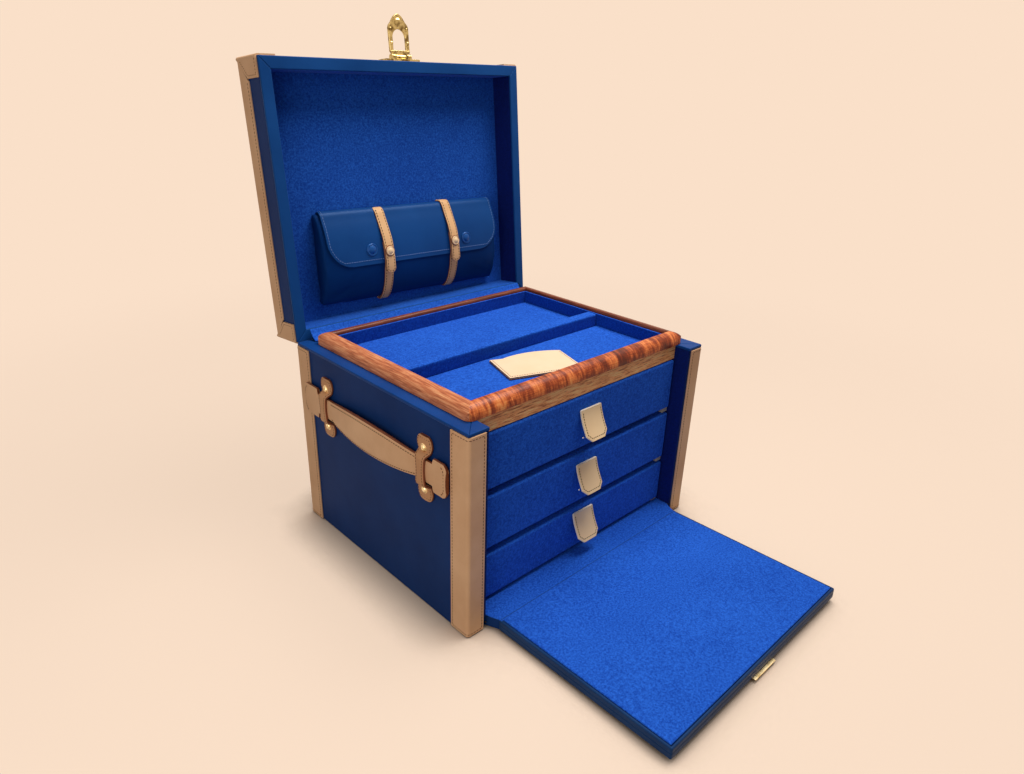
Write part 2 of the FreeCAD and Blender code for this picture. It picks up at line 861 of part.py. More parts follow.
# back hinge
def back_leaf(first):
    return hinge_leaf(
        lid_leaf_length,
        lid_leaf_reach,
        lid_knuckle_radius,
        lid_hinge_inset,
        lid_leaf_thickness,
        lid_pin_radius,
        lid_knuckles,
        first,
    )


shut_lid_leaf = turned_leaf(flipped_leaf(back_leaf(1)), lid_hinge_y, lid_hinge_z, -90)
nodes["lid_hinge_base_leaf"] = turned_leaf(back_leaf(0), lid_hinge_y, lid_hinge_z, -90)
nodes["lid_hinge_lid_leaf"] = opened(shut_lid_leaf)
nodes["lid_hinge_pin"] = rod_x(centred(lid_leaf_length + 4), lid_hinge_y, lid_hinge_z, lid_pin_radius)

# suede gusset from behind the tray up to the open lid's lining
lid_edge = opened(Part.Vertex(point(0, lined_lid_y, lid_low))).Point
gusset_foot = point(0, tray_outer_y + 3 * gusset_thickness, nose_low)
gusset_head = point(0, lid_edge.y - 2 * gusset_thickness, lid_edge.z)
rise = (gusset_head - gusset_foot).normalize()
across = point(0, -rise.z, rise.y) * gusset_thickness
start = point(-gusset_length / 2, 0, 0)
nodes["lid_gusset"] = prism(
    [start + gusset_foot, start + gusset_head, start + gusset_head + across, start + gusset_foot + across],
    point(gusset_length, 0, 0),
)

# latch on the lid's front wall: plate with two ears, pin and swinging hasp
plate_face = -half_depth - latch_plate_thickness
latch_y = plate_face - latch_axis_stand
latch_z = lid_low + latch_axis_lift
barrel = centred(hasp_barrel_width)
ear_start = hasp_barrel_width / 2 + hinge_play
plate_z = (lid_low + latch_plate_lift, lid_low + latch_plate_lift + latch_plate_height)
latch_plate = block(centred(latch_plate_width), (plate_face, -half_depth), plate_z)
for ear in ((ear_start, ear_start + latch_ear_width), (-ear_start - latch_ear_width, -ear_start)):
    lug = block(ear, (latch_y, plate_face), (latch_z - latch_ear_radius, latch_z + latch_ear_radius))
    latch_plate = latch_plate.fuse(lug).fuse(rod_x(ear, latch_y, latch_z, latch_ear_radius))
room_radius = hasp_barrel_radius + hinge_play
barrel_room = rod_x(centred(hasp_barrel_width + 2 * hinge_play), latch_y, latch_z, room_radius)
pin_hole = rod_x(centred(latch_plate_width), latch_y, latch_z, latch_pin_radius + pin_clearance)
nodes["latch_plate"] = opened(latch_plate.cut(barrel_room).cut(pin_hole).removeSplitter())
pin_reach = ear_start + latch_ear_width
nodes["latch_pin"] = opened(rod_x((-pin_reach, pin_reach), latch_y, latch_z, latch_pin_radius))


def hasp():
    # hangs down over the drop front when shut
    half = hasp_width / 2
    slot = hasp_slot_width / 2
    face = latch_y - hasp_thickness / 2
    through = point(0, hasp_thickness, 0)

    def at(x, down):
        return point(x, face, latch_z - down)

    neck = hasp_barrel_width / 2
    ear_clear = latch_ear_radius + hinge_play
    shoulder = hasp_slot_start
    tip = hasp_length - half
    body = outline_prism(
        [
            line(at(-neck, 0), at(neck, 0)),
            line(at(neck, 0), at(neck, ear_clear)),
            line(at(neck, ear_clear), at(half, shoulder)),
            line(at(half, shoulder), at(half, tip)),
            arc(at(half, tip), at(0, hasp_length), at(-half, tip)),
            line(at(-half, tip), at(-half, shoulder)),
            line(at(-half, shoulder), at(-neck, ear_clear)),
            line(at(-neck, ear_clear), at(-neck, 0)),
        ],
        through,
    )
    slot_end = hasp_slot_start + hasp_slot_length
    slot_turn = slot_end - slot
    window = outline_prism(
        [
            line(at(-slot, hasp_slot_start), at(slot, hasp_slot_start)),
            line(at(slot, hasp_slot_start), at(slot, slot_turn)),
            arc(at(slot, slot_turn), at(0, slot_end), at(-slot, slot_turn)),
            line(at(-slot, slot_turn), at(-slot, hasp_slot_start)),
        ],
        through,
    )
    head_centre = point(0, face, latch_z - (slot_end + hasp_length) / 2)
    head = dome(head_centre, point(0, -1, 0), hasp_head_radius, hasp_head_height)
    hook = body.cut(window).fuse(rod_x(barrel, latch_y, latch_z, hasp_barrel_radius)).fuse(head)
    return hook.cut(rod_x(centred(latch_plate_width), latch_y, latch_z, latch_pin_radius + pin_clearance))


nodes["latch_hasp"] = opened(turned_x(hasp(), latch_y, latch_z, -90))

# pouch under its straps on the lid's lining, drawn with the lid shut
pouch_front_edge = lined_lid_y - pouch_wall_gap - pouch_height
pouch_x = (pouch_centre - pouch_width / 2, pouch_centre + pouch_width / 2)
pouch_y = (pouch_front_edge, pouch_front_edge + pouch_height)
pouch_high = lid_ceiling - soft_gap
pouch_low = pouch_high - pouch_thickness
pouch = block(pouch_x, pouch_y, (pouch_low, pouch_high))
long_edges = [e for e in pouch.Edges if abs(e.tangentAt(e.FirstParameter).x) > 0.9]
nodes["pouch_body"] = opened(pouch.makeFillet(pouch_round, long_edges))


def pouch_flap():
    low = pouch_low - flap_thickness
    edge = pouch_front_edge - soft_gap - flap_thickness
    end = pouch_front_edge + flap_length
    turn = flap_corner * (1 - math.sqrt(0.5))
    left, right = pouch_x
    sheet = outline_prism(
        [
            line(point(left, edge, low), point(right, edge, low)),
            line(point(right, edge, low), point(right, end - flap_corner, low)),
            arc(
                point(right, end - flap_corner, low),
                point(right - turn, end - turn, low),
                point(right - flap_corner, end, low),
            ),
            line(point(right - flap_corner, end, low), point(left + flap_corner, end, low)),
            arc(
                point(left + flap_corner, end, low),
                point(left + turn, end - turn, low),
                point(left, end - flap_corner, low),
            ),
            line(point(left, end - flap_corner, low), point(left, edge, low)),
        ],
        point(0, 0, flap_thickness),
    )
    fold = block(pouch_x, (edge, edge + flap_thickness), (pouch_low, pouch_high))
    return sheet.fuse(fold).removeSplitter()


nodes["pouch_flap"] = opened(pouch_flap())
flap_low = pouch_low - flap_thickness
snap_y = pouch_front_edge + flap_length - pouch_snap_from_edge
down = point(0, 0, -1)
pouch_snaps = [
    dome(point(pouch_centre + dx, snap_y, flap_low), down, pouch_snap_radius, pouch_snap_height)
    for dx in centred(pouch_snap_spacing)
]
nodes["pouch_snaps"] = opened(Part.makeCompound(pouch_snaps))

lower_face = flap_low - soft_gap
upper_face = lower_face - strap_thickness - soft_gap
strap_top = pouch_front_edge - 2 * soft_gap - flap_thickness
strap_foot = pouch_y[1] + soft_gap
flap_end = pouch_front_edge + flap_length
step_y = flap_end + 2 * strap_thickness
tip_y = strap_top + strap_tip
lap_y = tip_y - strap_lap


def lower_strap(x):
    section = [
        point(0, lap_y, lower_face),
        point(0, flap_end + soft_gap, lower_face),
        point(0, step_y, pouch_low - soft_gap),
        point(0, strap_foot, pouch_low - soft_gap),
        point(0, strap_foot, pouch_high),
        point(0, strap_foot + strap_thickness, pouch_high),
        point(0, strap_foot + strap_thickness, pouch_low - soft_gap - strap_thickness),
        point(0, step_y, pouch_low - soft_gap - strap_thickness),
        point(0, flap_end + soft_gap, lower_face - strap_thickness),
        point(0, lap_y, lower_face - strap_thickness),
    ]
    strap = prism(section, point(strap_width, 0, 0))
    strap.translate(point(x - strap_width / 2, 0, 0))
    return strap


def upper_strap(x):
    over = upper_face - strap_thickness
    bend = strap_thickness / 2
    section = [
        point(0, strap_top, pouch_high - bend),
        point(0, strap_top, upper_face),
        point(0, tip_y, upper_face),
        point(0, tip_y, over),
        point(0, strap_top - strap_thickness, over),
        point(0, strap_top - strap_thickness, pouch_high - bend),
    ]
    root = rod_x((0, strap_width), strap_top - bend, pouch_high - bend, bend)
    strap = prism(section, point(strap_width, 0, 0)).fuse(root).removeSplitter()
    strap.translate(point(x - strap_width / 2, 0, 0))
    snap = dome(point(x, tip_y - strap_snap_from_tip, over), down, strap_snap_radius, strap_snap_height)
    return Part.makeCompound([strap, snap])


strap_x = [pouch_centre + dx for dx in centred(strap_spacing)]
nodes["lower_straps"] = opened(Part.makeCompound([lower_strap(x) for x in strap_x]))
nodes["left_upper_strap"] = opened(upper_strap(strap_x[0]))
nodes["right_upper_strap"] = opened(upper_strap(strap_x[1]))

os.makedirs("parts", exist_ok=True)
for name, shape in nodes.items():
    shape.exportStep("parts/" + name + ".step")
print(len(nodes), "nodes, drop front raised", round(panel_tilt, 3), "degrees")
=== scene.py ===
import json
import math
from bisect import bisect_right

import bmesh
import bpy
from mathutils import Matrix, Vector


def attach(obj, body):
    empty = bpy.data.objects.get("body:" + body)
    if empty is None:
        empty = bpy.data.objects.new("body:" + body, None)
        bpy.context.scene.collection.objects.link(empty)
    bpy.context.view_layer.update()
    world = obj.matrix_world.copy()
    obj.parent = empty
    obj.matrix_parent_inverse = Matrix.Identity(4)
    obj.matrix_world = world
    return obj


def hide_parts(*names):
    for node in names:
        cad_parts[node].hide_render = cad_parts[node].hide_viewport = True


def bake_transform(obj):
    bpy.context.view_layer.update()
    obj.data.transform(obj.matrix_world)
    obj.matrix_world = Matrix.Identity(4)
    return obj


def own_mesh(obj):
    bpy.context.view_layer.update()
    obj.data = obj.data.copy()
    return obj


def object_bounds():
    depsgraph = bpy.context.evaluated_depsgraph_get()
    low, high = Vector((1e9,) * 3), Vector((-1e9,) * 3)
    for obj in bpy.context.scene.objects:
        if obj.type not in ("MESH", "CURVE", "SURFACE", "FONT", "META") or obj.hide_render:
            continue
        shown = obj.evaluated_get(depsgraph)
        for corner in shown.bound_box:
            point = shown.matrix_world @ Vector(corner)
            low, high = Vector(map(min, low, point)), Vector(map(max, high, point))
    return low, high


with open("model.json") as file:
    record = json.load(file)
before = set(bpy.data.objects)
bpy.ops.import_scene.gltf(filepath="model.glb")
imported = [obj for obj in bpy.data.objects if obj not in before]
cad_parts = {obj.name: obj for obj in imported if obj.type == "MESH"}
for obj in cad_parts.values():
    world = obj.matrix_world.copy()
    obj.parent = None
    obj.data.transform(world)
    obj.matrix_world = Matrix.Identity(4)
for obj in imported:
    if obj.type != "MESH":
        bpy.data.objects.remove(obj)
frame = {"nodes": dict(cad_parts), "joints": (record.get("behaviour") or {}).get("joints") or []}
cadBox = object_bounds()
mm = 0.001  # pieces are drawn in millimetres
joints = {joint["name"]: joint for joint in frame["joints"]}
print("frame loaded:", len(frame["nodes"]), "nodes")


def turnAboutX(pivot, degrees):
    middle = Matrix.Translation(Vector(pivot) / mm)
    return middle @ Matrix.Rotation(math.radians(degrees), 4, "X") @ middle.inverted()


lidHinge = joints["lid_hinge"]
frontHinge = joints["drop_front_hinge"]
lidOpen = lidHinge["range_deg"][0]
lidTurn = turnAboutX(lidHinge["pos_m"], lidOpen)  # from shut to open
panelTilt = turnAboutX(frontHinge["pos_m"], -90 - frontHinge["range_deg"][0])
upright = Matrix.Identity(4)
mirrorX = Matrix.Diagonal((-1, 1, 1, 1))
mirrorY = Matrix.Diagonal((1, -1, 1, 1))


def nodeBox(node, turn=upright):
    back = turn.inverted()
    points = [back @ (vertex.co / mm) for vertex in frame["nodes"][node].data.vertices]
    low = Vector([min(point[axis] for point in points) for axis in range(3)])
    high = Vector([max(point[axis] for point in points) for axis in range(3)])
    return low, high


# shader wiring

class Wire:
    def __init__(self, graph, socket):
        self.graph = graph
        self.socket = socket

    def __add__(self, other):
        return self.graph.maths("ADD", self, other)

    def __sub__(self, other):
        return self.graph.maths("SUBTRACT", self, other)

    def __rsub__(self, other):
        return self.graph.maths("SUBTRACT", other, self)

    def __mul__(self, other):
        return self.graph.maths("MULTIPLY", self, other)

    def __gt__(self, other):
        return self.graph.maths("GREATER_THAN", self, other)

    __radd__ = __add__
    __rmul__ = __mul__


class Graph:
    def __init__(self, tree):
        self.tree = tree
        tree.nodes.clear()

    def node(self, kind, settings=None, sockets=None, output=0):
        made = self.tree.nodes.new(kind)
        for key, value in (settings or {}).items():
            if key == "stops":
                ramp = made.color_ramp.elements
                while len(ramp) < len(value):
                    ramp.new(0.5)
                for stop, (position, colour) in zip(ramp, value):
                    stop.position = position
                    stop.color = colour
            else:
                setattr(made, key, value)
        for key, value in (sockets or {}).items():
            if isinstance(value, Wire):
                self.tree.links.new(value.socket, made.inputs[key])
            else:
                made.inputs[key].default_value = value
        return Wire(self, made.outputs[output]) if len(made.outputs) else None

    def maths(self, operation, a, b):
        return self.node("ShaderNodeMath", {"operation": operation}, {0: a, 1: b})

    def mix(self, share, a, b):
        return self.node("ShaderNodeMix", {"data_type": "RGBA"}, {0: share, 6: a, 7: b}, 2)

    def place(self):
        return self.node("ShaderNodeTexCoord", output="Object")

    def stretched(self, scale):
        return self.node("ShaderNodeMapping", {}, {"Vector": self.place(), "Scale": scale})

    def noise(self, place, scale, detail=3, roughness=0.55):
        values = {"Vector": place, "Scale": scale, "Detail": detail, "Roughness": roughness}
        return self.node("ShaderNodeTexNoise", {}, values)

    def ramp(self, value, *stops):
        return self.node("ShaderNodeValToRGB", {"stops": stops}, {"Fac": value})

    def bump(self, height, strength, depth):
        return self.node("ShaderNodeBump", {}, {"Height": height, "Strength": strength, "Distance": depth})

    def shade(self, sockets):
        shader = self.node("ShaderNodeBsdfPrincipled", {}, sockets)
        self.node("ShaderNodeOutputMaterial", {}, {"Surface": shader})


def newFinish(name):
    finish = bpy.data.materials.new(name)
    finish.use_nodes = True
    return finish, Graph(finish.node_tree)


def paint(red, green, blue):
    def linear(value):
        value /= 255
        return value / 12.92 if value <= 0.04045 else ((value + 0.055) / 1.055) ** 2.4

    return (linear(red), linear(green), linear(blue), 1.0)


def leatherFinish(name, light, dark, pebble, relief, rough, specular, mottle=22, tint=(1, 1, 1, 1)):
    finish, g = newFinish(name)
    place = g.place()
    broad = g.noise(place, mottle, 4)
    grain = {"Vector": place, "Scale": 1 / pebble, "Smoothness": 0.7}
    cells = g.node("ShaderNodeTexVoronoi", {"feature": "SMOOTH_F1"}, grain)
    pores = g.noise(place, 2.5 / pebble, 3)
    patch = g.ramp(broad, (0.3, (0, 0, 0, 1)), (0.72, (1, 1, 1, 1)))
    g.shade({
        "Base Color": g.mix(patch * 0.75 + pores * 0.25, dark, light),
        "Roughness": pores * 0.16 + (rough - 0.08),
        "Specular IOR Level": specular,
        "Specular Tint": tint,
        "Normal": g.bump(cells * 0.75 + pores * 0.25, relief, 0.0004),
    })
    return finish


def suedeFinish(name, light, dark):
    finish, g = newFinish(name)
    place = g.place()
    nap = g.noise(place, 560, 4, 0.75)
    hairs = g.noise(place, 1900, 2)
    brushed = g.noise(place, 14, 3)
    tone = nap * 1.8 + hairs * 0.5 + brushed * 0.3 - 0.81
    g.shade({
        "Base Color": g.mix(g.ramp(tone, (0.25, (0, 0, 0, 1)), (0.75, (1, 1, 1, 1))), dark, light),
        "Roughness": hairs * 0.1 + 0.88,
        "Specular IOR Level": 0.08,
        "Sheen Weight": 0.12,
        "Sheen Roughness": 0.45,
        "Sheen Tint": paint(120, 165, 255),
        "Normal": g.bump(nap * 0.6 + hairs * 0.4, 0.35, 0.0006),
    })
    return finish


def woodFinish(name, along, light, middle, dark):
    finish, g = newFinish(name)
    stripes = [360, 360, 360]
    stripes[along] = 28
    pores = [1500, 1500, 1500]
    pores[along] = 70
    grain = g.noise(g.stretched(stripes), 1.6, 6, 0.62)
    fleck = g.noise(g.stretched(pores), 1, 2)
    tone = grain * 1.05 + fleck * 0.5 - 0.27
    g.shade({
        "Base Color": g.ramp(tone, (0.2, dark), (0.5, middle), (0.8, light)),
        "Roughness": fleck * 0.15 + 0.33,
        "Specular IOR Level": 0.22,
        "Coat Weight": 0.06,
        "Coat Roughness": 0.2,
        "Normal": g.bump(fleck * 0.6 + grain * 0.4, 0.2, 0.0003),
    })
    return finish


def figuredFinish(name, seam):
    finish, g = newFinish(name)
    curl = g.noise(g.stretched((120, 24, 30)), 1, 5, 0.66)  # cross stripes along the moulding
    flame = g.noise(g.stretched((330, 46, 70)), 1, 4, 0.7)
    drift = g.noise(g.stretched((22, 8, 8)), 1, 3)
    fleck = g.noise(g.stretched((90, 1500, 1500)), 1, 2)
    streak = g.noise(g.stretched((70, 620, 620)), 1, 5, 0.72)
    height = g.node("ShaderNodeSeparateXYZ", {}, {"Vector": g.place()}, "Z")
    nose = g.ramp(
        curl + flame * 0.6 + drift * 0.8 + fleck * 0.3 - 0.87,
        (0.26, paint(88, 30, 13)),
        (0.42, paint(150, 62, 29)),
        (0.56, paint(216, 114, 58)),
        (0.78, paint(252, 174, 102)),
    )
    band = g.ramp(
        streak * 1.3 + fleck * 0.5 - 0.4,
        (0.3, paint(156, 84, 44)),
        (0.5, paint(250, 166, 100)),
        (0.75, paint(255, 214, 142)),
    )
    g.shade({
        "Base Color": g.mix(height > seam, band, nose),
        "Roughness": fleck * 0.15 + 0.32,
        "Specular IOR Level": 0.22,
        "Coat Weight": 0.06,
        "Coat Roughness": 0.2,
        "Normal": g.bump(fleck * 0.6 + streak * 0.4, 0.2, 0.0003),
    })
    return finish


def metalFinish(name, light, dark, rough):
    finish, g = newFinish(name)
    place = g.place()
    # dark patches in the colour are painted reflection of dark surroundings
    reflectionPatches = g.noise(place, 210, 4)
    scratch = g.noise(g.stretched((900, 900, 120)), 1, 2)
    paintedReflection = g.ramp(reflectionPatches, (0.36, (0, 0, 0, 1)), (0.56, (1, 1, 1, 1)))
    g.shade({
        "Base Color": g.mix(paintedReflection, dark, light),
        "Metallic": 1.0,
        "Roughness": reflectionPatches * 0.14 + (rough - 0.07),
        "Normal": g.bump(scratch, 0.06, 0.0002),
    })
    return finish


def threadFinish(name, light, dark):
    finish, g = newFinish(name)
    twist = g.noise(g.place(), 1600, 2)
    g.shade({
        "Base Color": g.mix(twist, dark, light),
        "Roughness": twist * 0.2 + 0.6,
        "Specular IOR Level": 0.25,
        "Normal": g.bump(twist, 0.4, 0.0003),
    })
    return finish


def boardFinish(name, light, dark):
    finish, g = newFinish(name)
    fibre = g.noise(g.place(), 600, 5, 0.7)
    g.shade({
        "Base Color": g.mix(fibre, dark, light),
        "Roughness": fibre * 0.2 + 0.7,
        "Specular IOR Level": 0.2,
        "Normal": g.bump(fibre, 0.25, 0.0003),
    })
    return finish


noseLow = nodeBox("rim_binding")[1].z + 0.3  # the front moulding's nose begins just above the rim
blueReflectionTint = (0.3, 0.55, 1.0, 1)  # painted reflection: the leather's reflections are tinted blue
caseGrain = {"pebble": 0.0011, "tint": blueReflectionTint}
pouchGrain = {"pebble": 0.0016, "relief": 0.06, "mottle": 12, "tint": blueReflectionTint}
navyLeather = leatherFinish(
    "navyLeather", paint(25, 58, 116), paint(18, 46, 97),
    relief=0.2, rough=0.5, specular=0.06, **caseGrain,
)
# lighter copy of the navy leather for the drop front: painted light, so the lip's top reads lighter
paintedLightPanelLeather = leatherFinish(
    "paintedLightPanelLeather", paint(34, 66, 112), paint(24, 50, 90),
    relief=0.2, rough=0.42, specular=0.12, **caseGrain,
)
rimLeather = leatherFinish(
    "rimLeather", paint(22, 70, 140), paint(16, 58, 120),
    relief=0.18, rough=0.45, specular=0.1, **caseGrain,
)
lidRimLeather = leatherFinish(
    "lidRimLeather", paint(26, 76, 140), paint(18, 62, 120),
    relief=0.18, rough=0.45, specular=0.12, **caseGrain,
)
flapLeather = leatherFinish(
    "flapLeather", paint(23, 74, 137), paint(15, 59, 116),
    rough=0.38, specular=0.2, **pouchGrain,
)
# lighter copy of the flap leather: painted highlight on the press studs
paintedLightStudLeather = leatherFinish(
    "paintedLightStudLeather", paint(32, 90, 160), paint(22, 72, 136),
    rough=0.3, specular=0.4, **pouchGrain,
)
# darker copy of the flap leather for the pouch body: painted shade
paintedShadePouchLeather = leatherFinish(
    "paintedShadePouchLeather", paint(13, 55, 114), paint(8, 42, 93),
    rough=0.45, specular=0.05, **pouchGrain,
)
tanLeather = leatherFinish(
    "tanLeather", paint(245, 197, 152), paint(219, 166, 122),
    pebble=0.0013, relief=0.12, rough=0.52, specular=0.2,
)
# darker copy of the tan leather: painted shade on the handle keepers
paintedShadeKeeperLeather = leatherFinish(
    "paintedShadeKeeperLeather", paint(222, 168, 122), paint(192, 136, 94),
    pebble=0.0013, relief=0.12, rough=0.5, specular=0.2,
)
paleLeather = leatherFinish(
    "paleLeather", paint(252, 218, 171), paint(242, 203, 154),
    pebble=0.0012, relief=0.1, rough=0.5, specular=0.2,
)
strapLeather = leatherFinish(
    "strapLeather", paint(240, 192, 138), paint(220, 166, 114),
    pebble=0.0012, relief=0.1, rough=0.5, specular=0.2,
)
cardLeather = leatherFinish(
    "cardLeather", paint(250, 222, 188), paint(240, 206, 165),
    pebble=0.0012, relief=0.08, rough=0.52, specular=0.16,
)
burnishedEdge = leatherFinish(
    "burnishedEdge", paint(150, 84, 52), paint(104, 50, 30),
    pebble=0.0008, relief=0.1, rough=0.4, specular=0.3, mottle=60,
)
# pale cut edge of the pull tabs: the leather's own pale edge with a painted highlight
creamEdgeAndHighlight = leatherFinish(
    "creamEdgeAndHighlight", paint(255, 242, 216), paint(246, 224, 190),
    pebble=0.0008, relief=0.1, rough=0.55, specular=0.22, mottle=60,
)
blueSuede = suedeFinish("blueSuede", paint(43, 107, 219), paint(20, 68, 168))
# darker copy of the blue suede for the lid's lining: painted shade
paintedShadeLidSuede = suedeFinish("paintedShadeLidSuede", paint(37, 98, 196), paint(17, 62, 150))
# darker copy of the blue suede for upright faces in the tray: painted shade
paintedShadeWallSuede = suedeFinish("paintedShadeWallSuede", paint(20, 77, 176), paint(9, 51, 136))
# near-black copy of the blue suede for inner side walls: painted shade
paintedShadeSideSuede = suedeFinish("paintedShadeSideSuede", paint(13, 34, 106), paint(8, 21, 80))
sideWood = woodFinish("sideWood", 1, paint(250, 182, 129), paint(205, 120, 79), paint(124, 60, 37))
# darker tones for the back and right mouldings: painted shade
paintedShadeWood = (paint(156, 84, 54), paint(112, 55, 36), paint(64, 30, 20))
backWood = woodFinish("backWood", 0, *paintedShadeWood)
rightWood = woodFinish("rightWood", 1, *paintedShadeWood)
frontWood = figuredFinish("frontWood", noseLow * mm)
brass = metalFinish("brass", (0.62, 0.5, 0.22, 1), (0.17, 0.11, 0.035, 1), rough=0.16)
paleBrass = metalFinish("paleBrass", (0.92, 0.78, 0.48, 1), (0.5, 0.36, 0.16, 1), rough=0.24)
# paler copy of the brass for the catch: painted light, as the catch faces down into shade
paintedLightCatchBrass = metalFinish("paintedLightCatchBrass", (0.97, 0.83, 0.5, 1), (0.72, 0.55, 0.26, 1), rough=0.42)
# near-black brass for the hinge leaves and pins
darkHingeBrass = metalFinish("darkHingeBrass", (0.21, 0.157, 0.082, 1), (0.16, 0.118, 0.06, 1), rough=0.35)
nickel = metalFinish("nickel", (0.82, 0.82, 0.82, 1), (0.5, 0.5, 0.52, 1), rough=0.2)
tanThread = threadFinish("tanThread", paint(128, 76, 46), paint(84, 48, 30))
paleThread = threadFinish("paleThread", paint(104, 60, 34), paint(66, 36, 22))
darkThread = threadFinish("darkThread", paint(84, 60, 46), paint(54, 38, 30))
blueThread = threadFinish("blueThread", paint(132, 160, 210), paint(74, 106, 170))
greyBoard = boardFinish("greyBoard", paint(150, 138, 122), paint(116, 104, 90))
drawerPaper = boardFinish("drawerPaper", paint(24, 62, 150), paint(16, 46, 120))
paleRunner = boardFinish("paleRunner", paint(206, 192, 172), paint(170, 154, 134))
print("finishes mixed:", len(bpy.data.materials))


# drawing tools

class Trace:  # a line measured by its own length
    def __init__(self, points, outs=None):
        self.points = [Vector(point) for point in points]
        self.outs = [Vector(out) for out in outs] if outs else None
        self.marks = [0.0]
        for a, b in zip(self.points, self.points[1:]):
            self.marks.append(self.marks[-1] + (b - a).length)
        self.length = self.marks[-1]

    def between(self, values, s):
        i = min(max(bisect_right(self.marks, s) - 1, 0), len(self.points) - 2)
        share = (s - self.marks[i]) / max(self.marks[i + 1] - self.marks[i], 1e-9)
        return values[i].lerp(values[i + 1], min(max(share, 0), 1))

    def point(self, s):
        return self.between(self.points, s)

    def along(self, s, step=0.5):
        return (self.point(min(s + step, self.length)) - self.point(max(s - step, 0))).normalized()

    def out(self, s):
        return self.between(self.outs, s).normalized()


def smoothLine(points, steps=8):
    points = [Vector(point) for point in points]
    padded = [2 * points[0] - points[1]] + points + [2 * points[-1] - points[-2]]
    line = []
    for a, b, c, d in zip(padded, padded[1:], padded[2:], padded[3:]):
        for k in range(steps):
            t = k / steps
            square = (2 * a - 5 * b + 4 * c - d) * t ** 2
            cube = (3 * b - a - 3 * c + d) * t ** 3
            line.append(0.5 * (2 * b + (c - a) * t + square + cube))
    return line + [points[-1]]


def arcLine(centre, radius, start, end, steps=8):
    angles = [math.radians(start + (end - start) * k / steps) for k in range(steps + 1)]
    return [(centre[0] + radius * math.cos(a), centre[1] + radius * math.sin(a)) for a in angles]


def stations(length, step, startRound=0, endRound=0):
    curve = [1 - math.cos(math.pi * k / 16) for k in range(8)]
    steps = max(1, round((length - startRound - endRound) / step))
    middle = [startRound + (length - startRound - endRound) * k / steps for k in range(steps + 1)]
    start = [startRound * c for c in curve] if startRound else []
    end = [length - endRound * c for c in curve[::-1]] if endRound else []
    return start + middle + end


def roundedHalf(half, radius, toEnd):
    if toEnd >= radius:
        return half
    gap = radius - max(toEnd, 0)
    return half - radius + math.sqrt(max(radius ** 2 - gap ** 2, 0)) + 0.15


diagonal = math.sqrt(0.5)
bandRing = [(-1 + 0.4 * k, 0, 1) for k in range(6)]
bandRing += [(1, diagonal, diagonal), (1, 1, 0), (1, diagonal, -diagonal)]
bandRing += [(1, 0, -1), (0.3, 0, -1), (-0.3, 0, -1), (-1, 0, -1)]
bandRing += [(-1, -diagonal, -diagonal), (-1, -1, 0), (-1, -diagonal, diagonal)]
cutFaces = (6, 7, 13, 14)


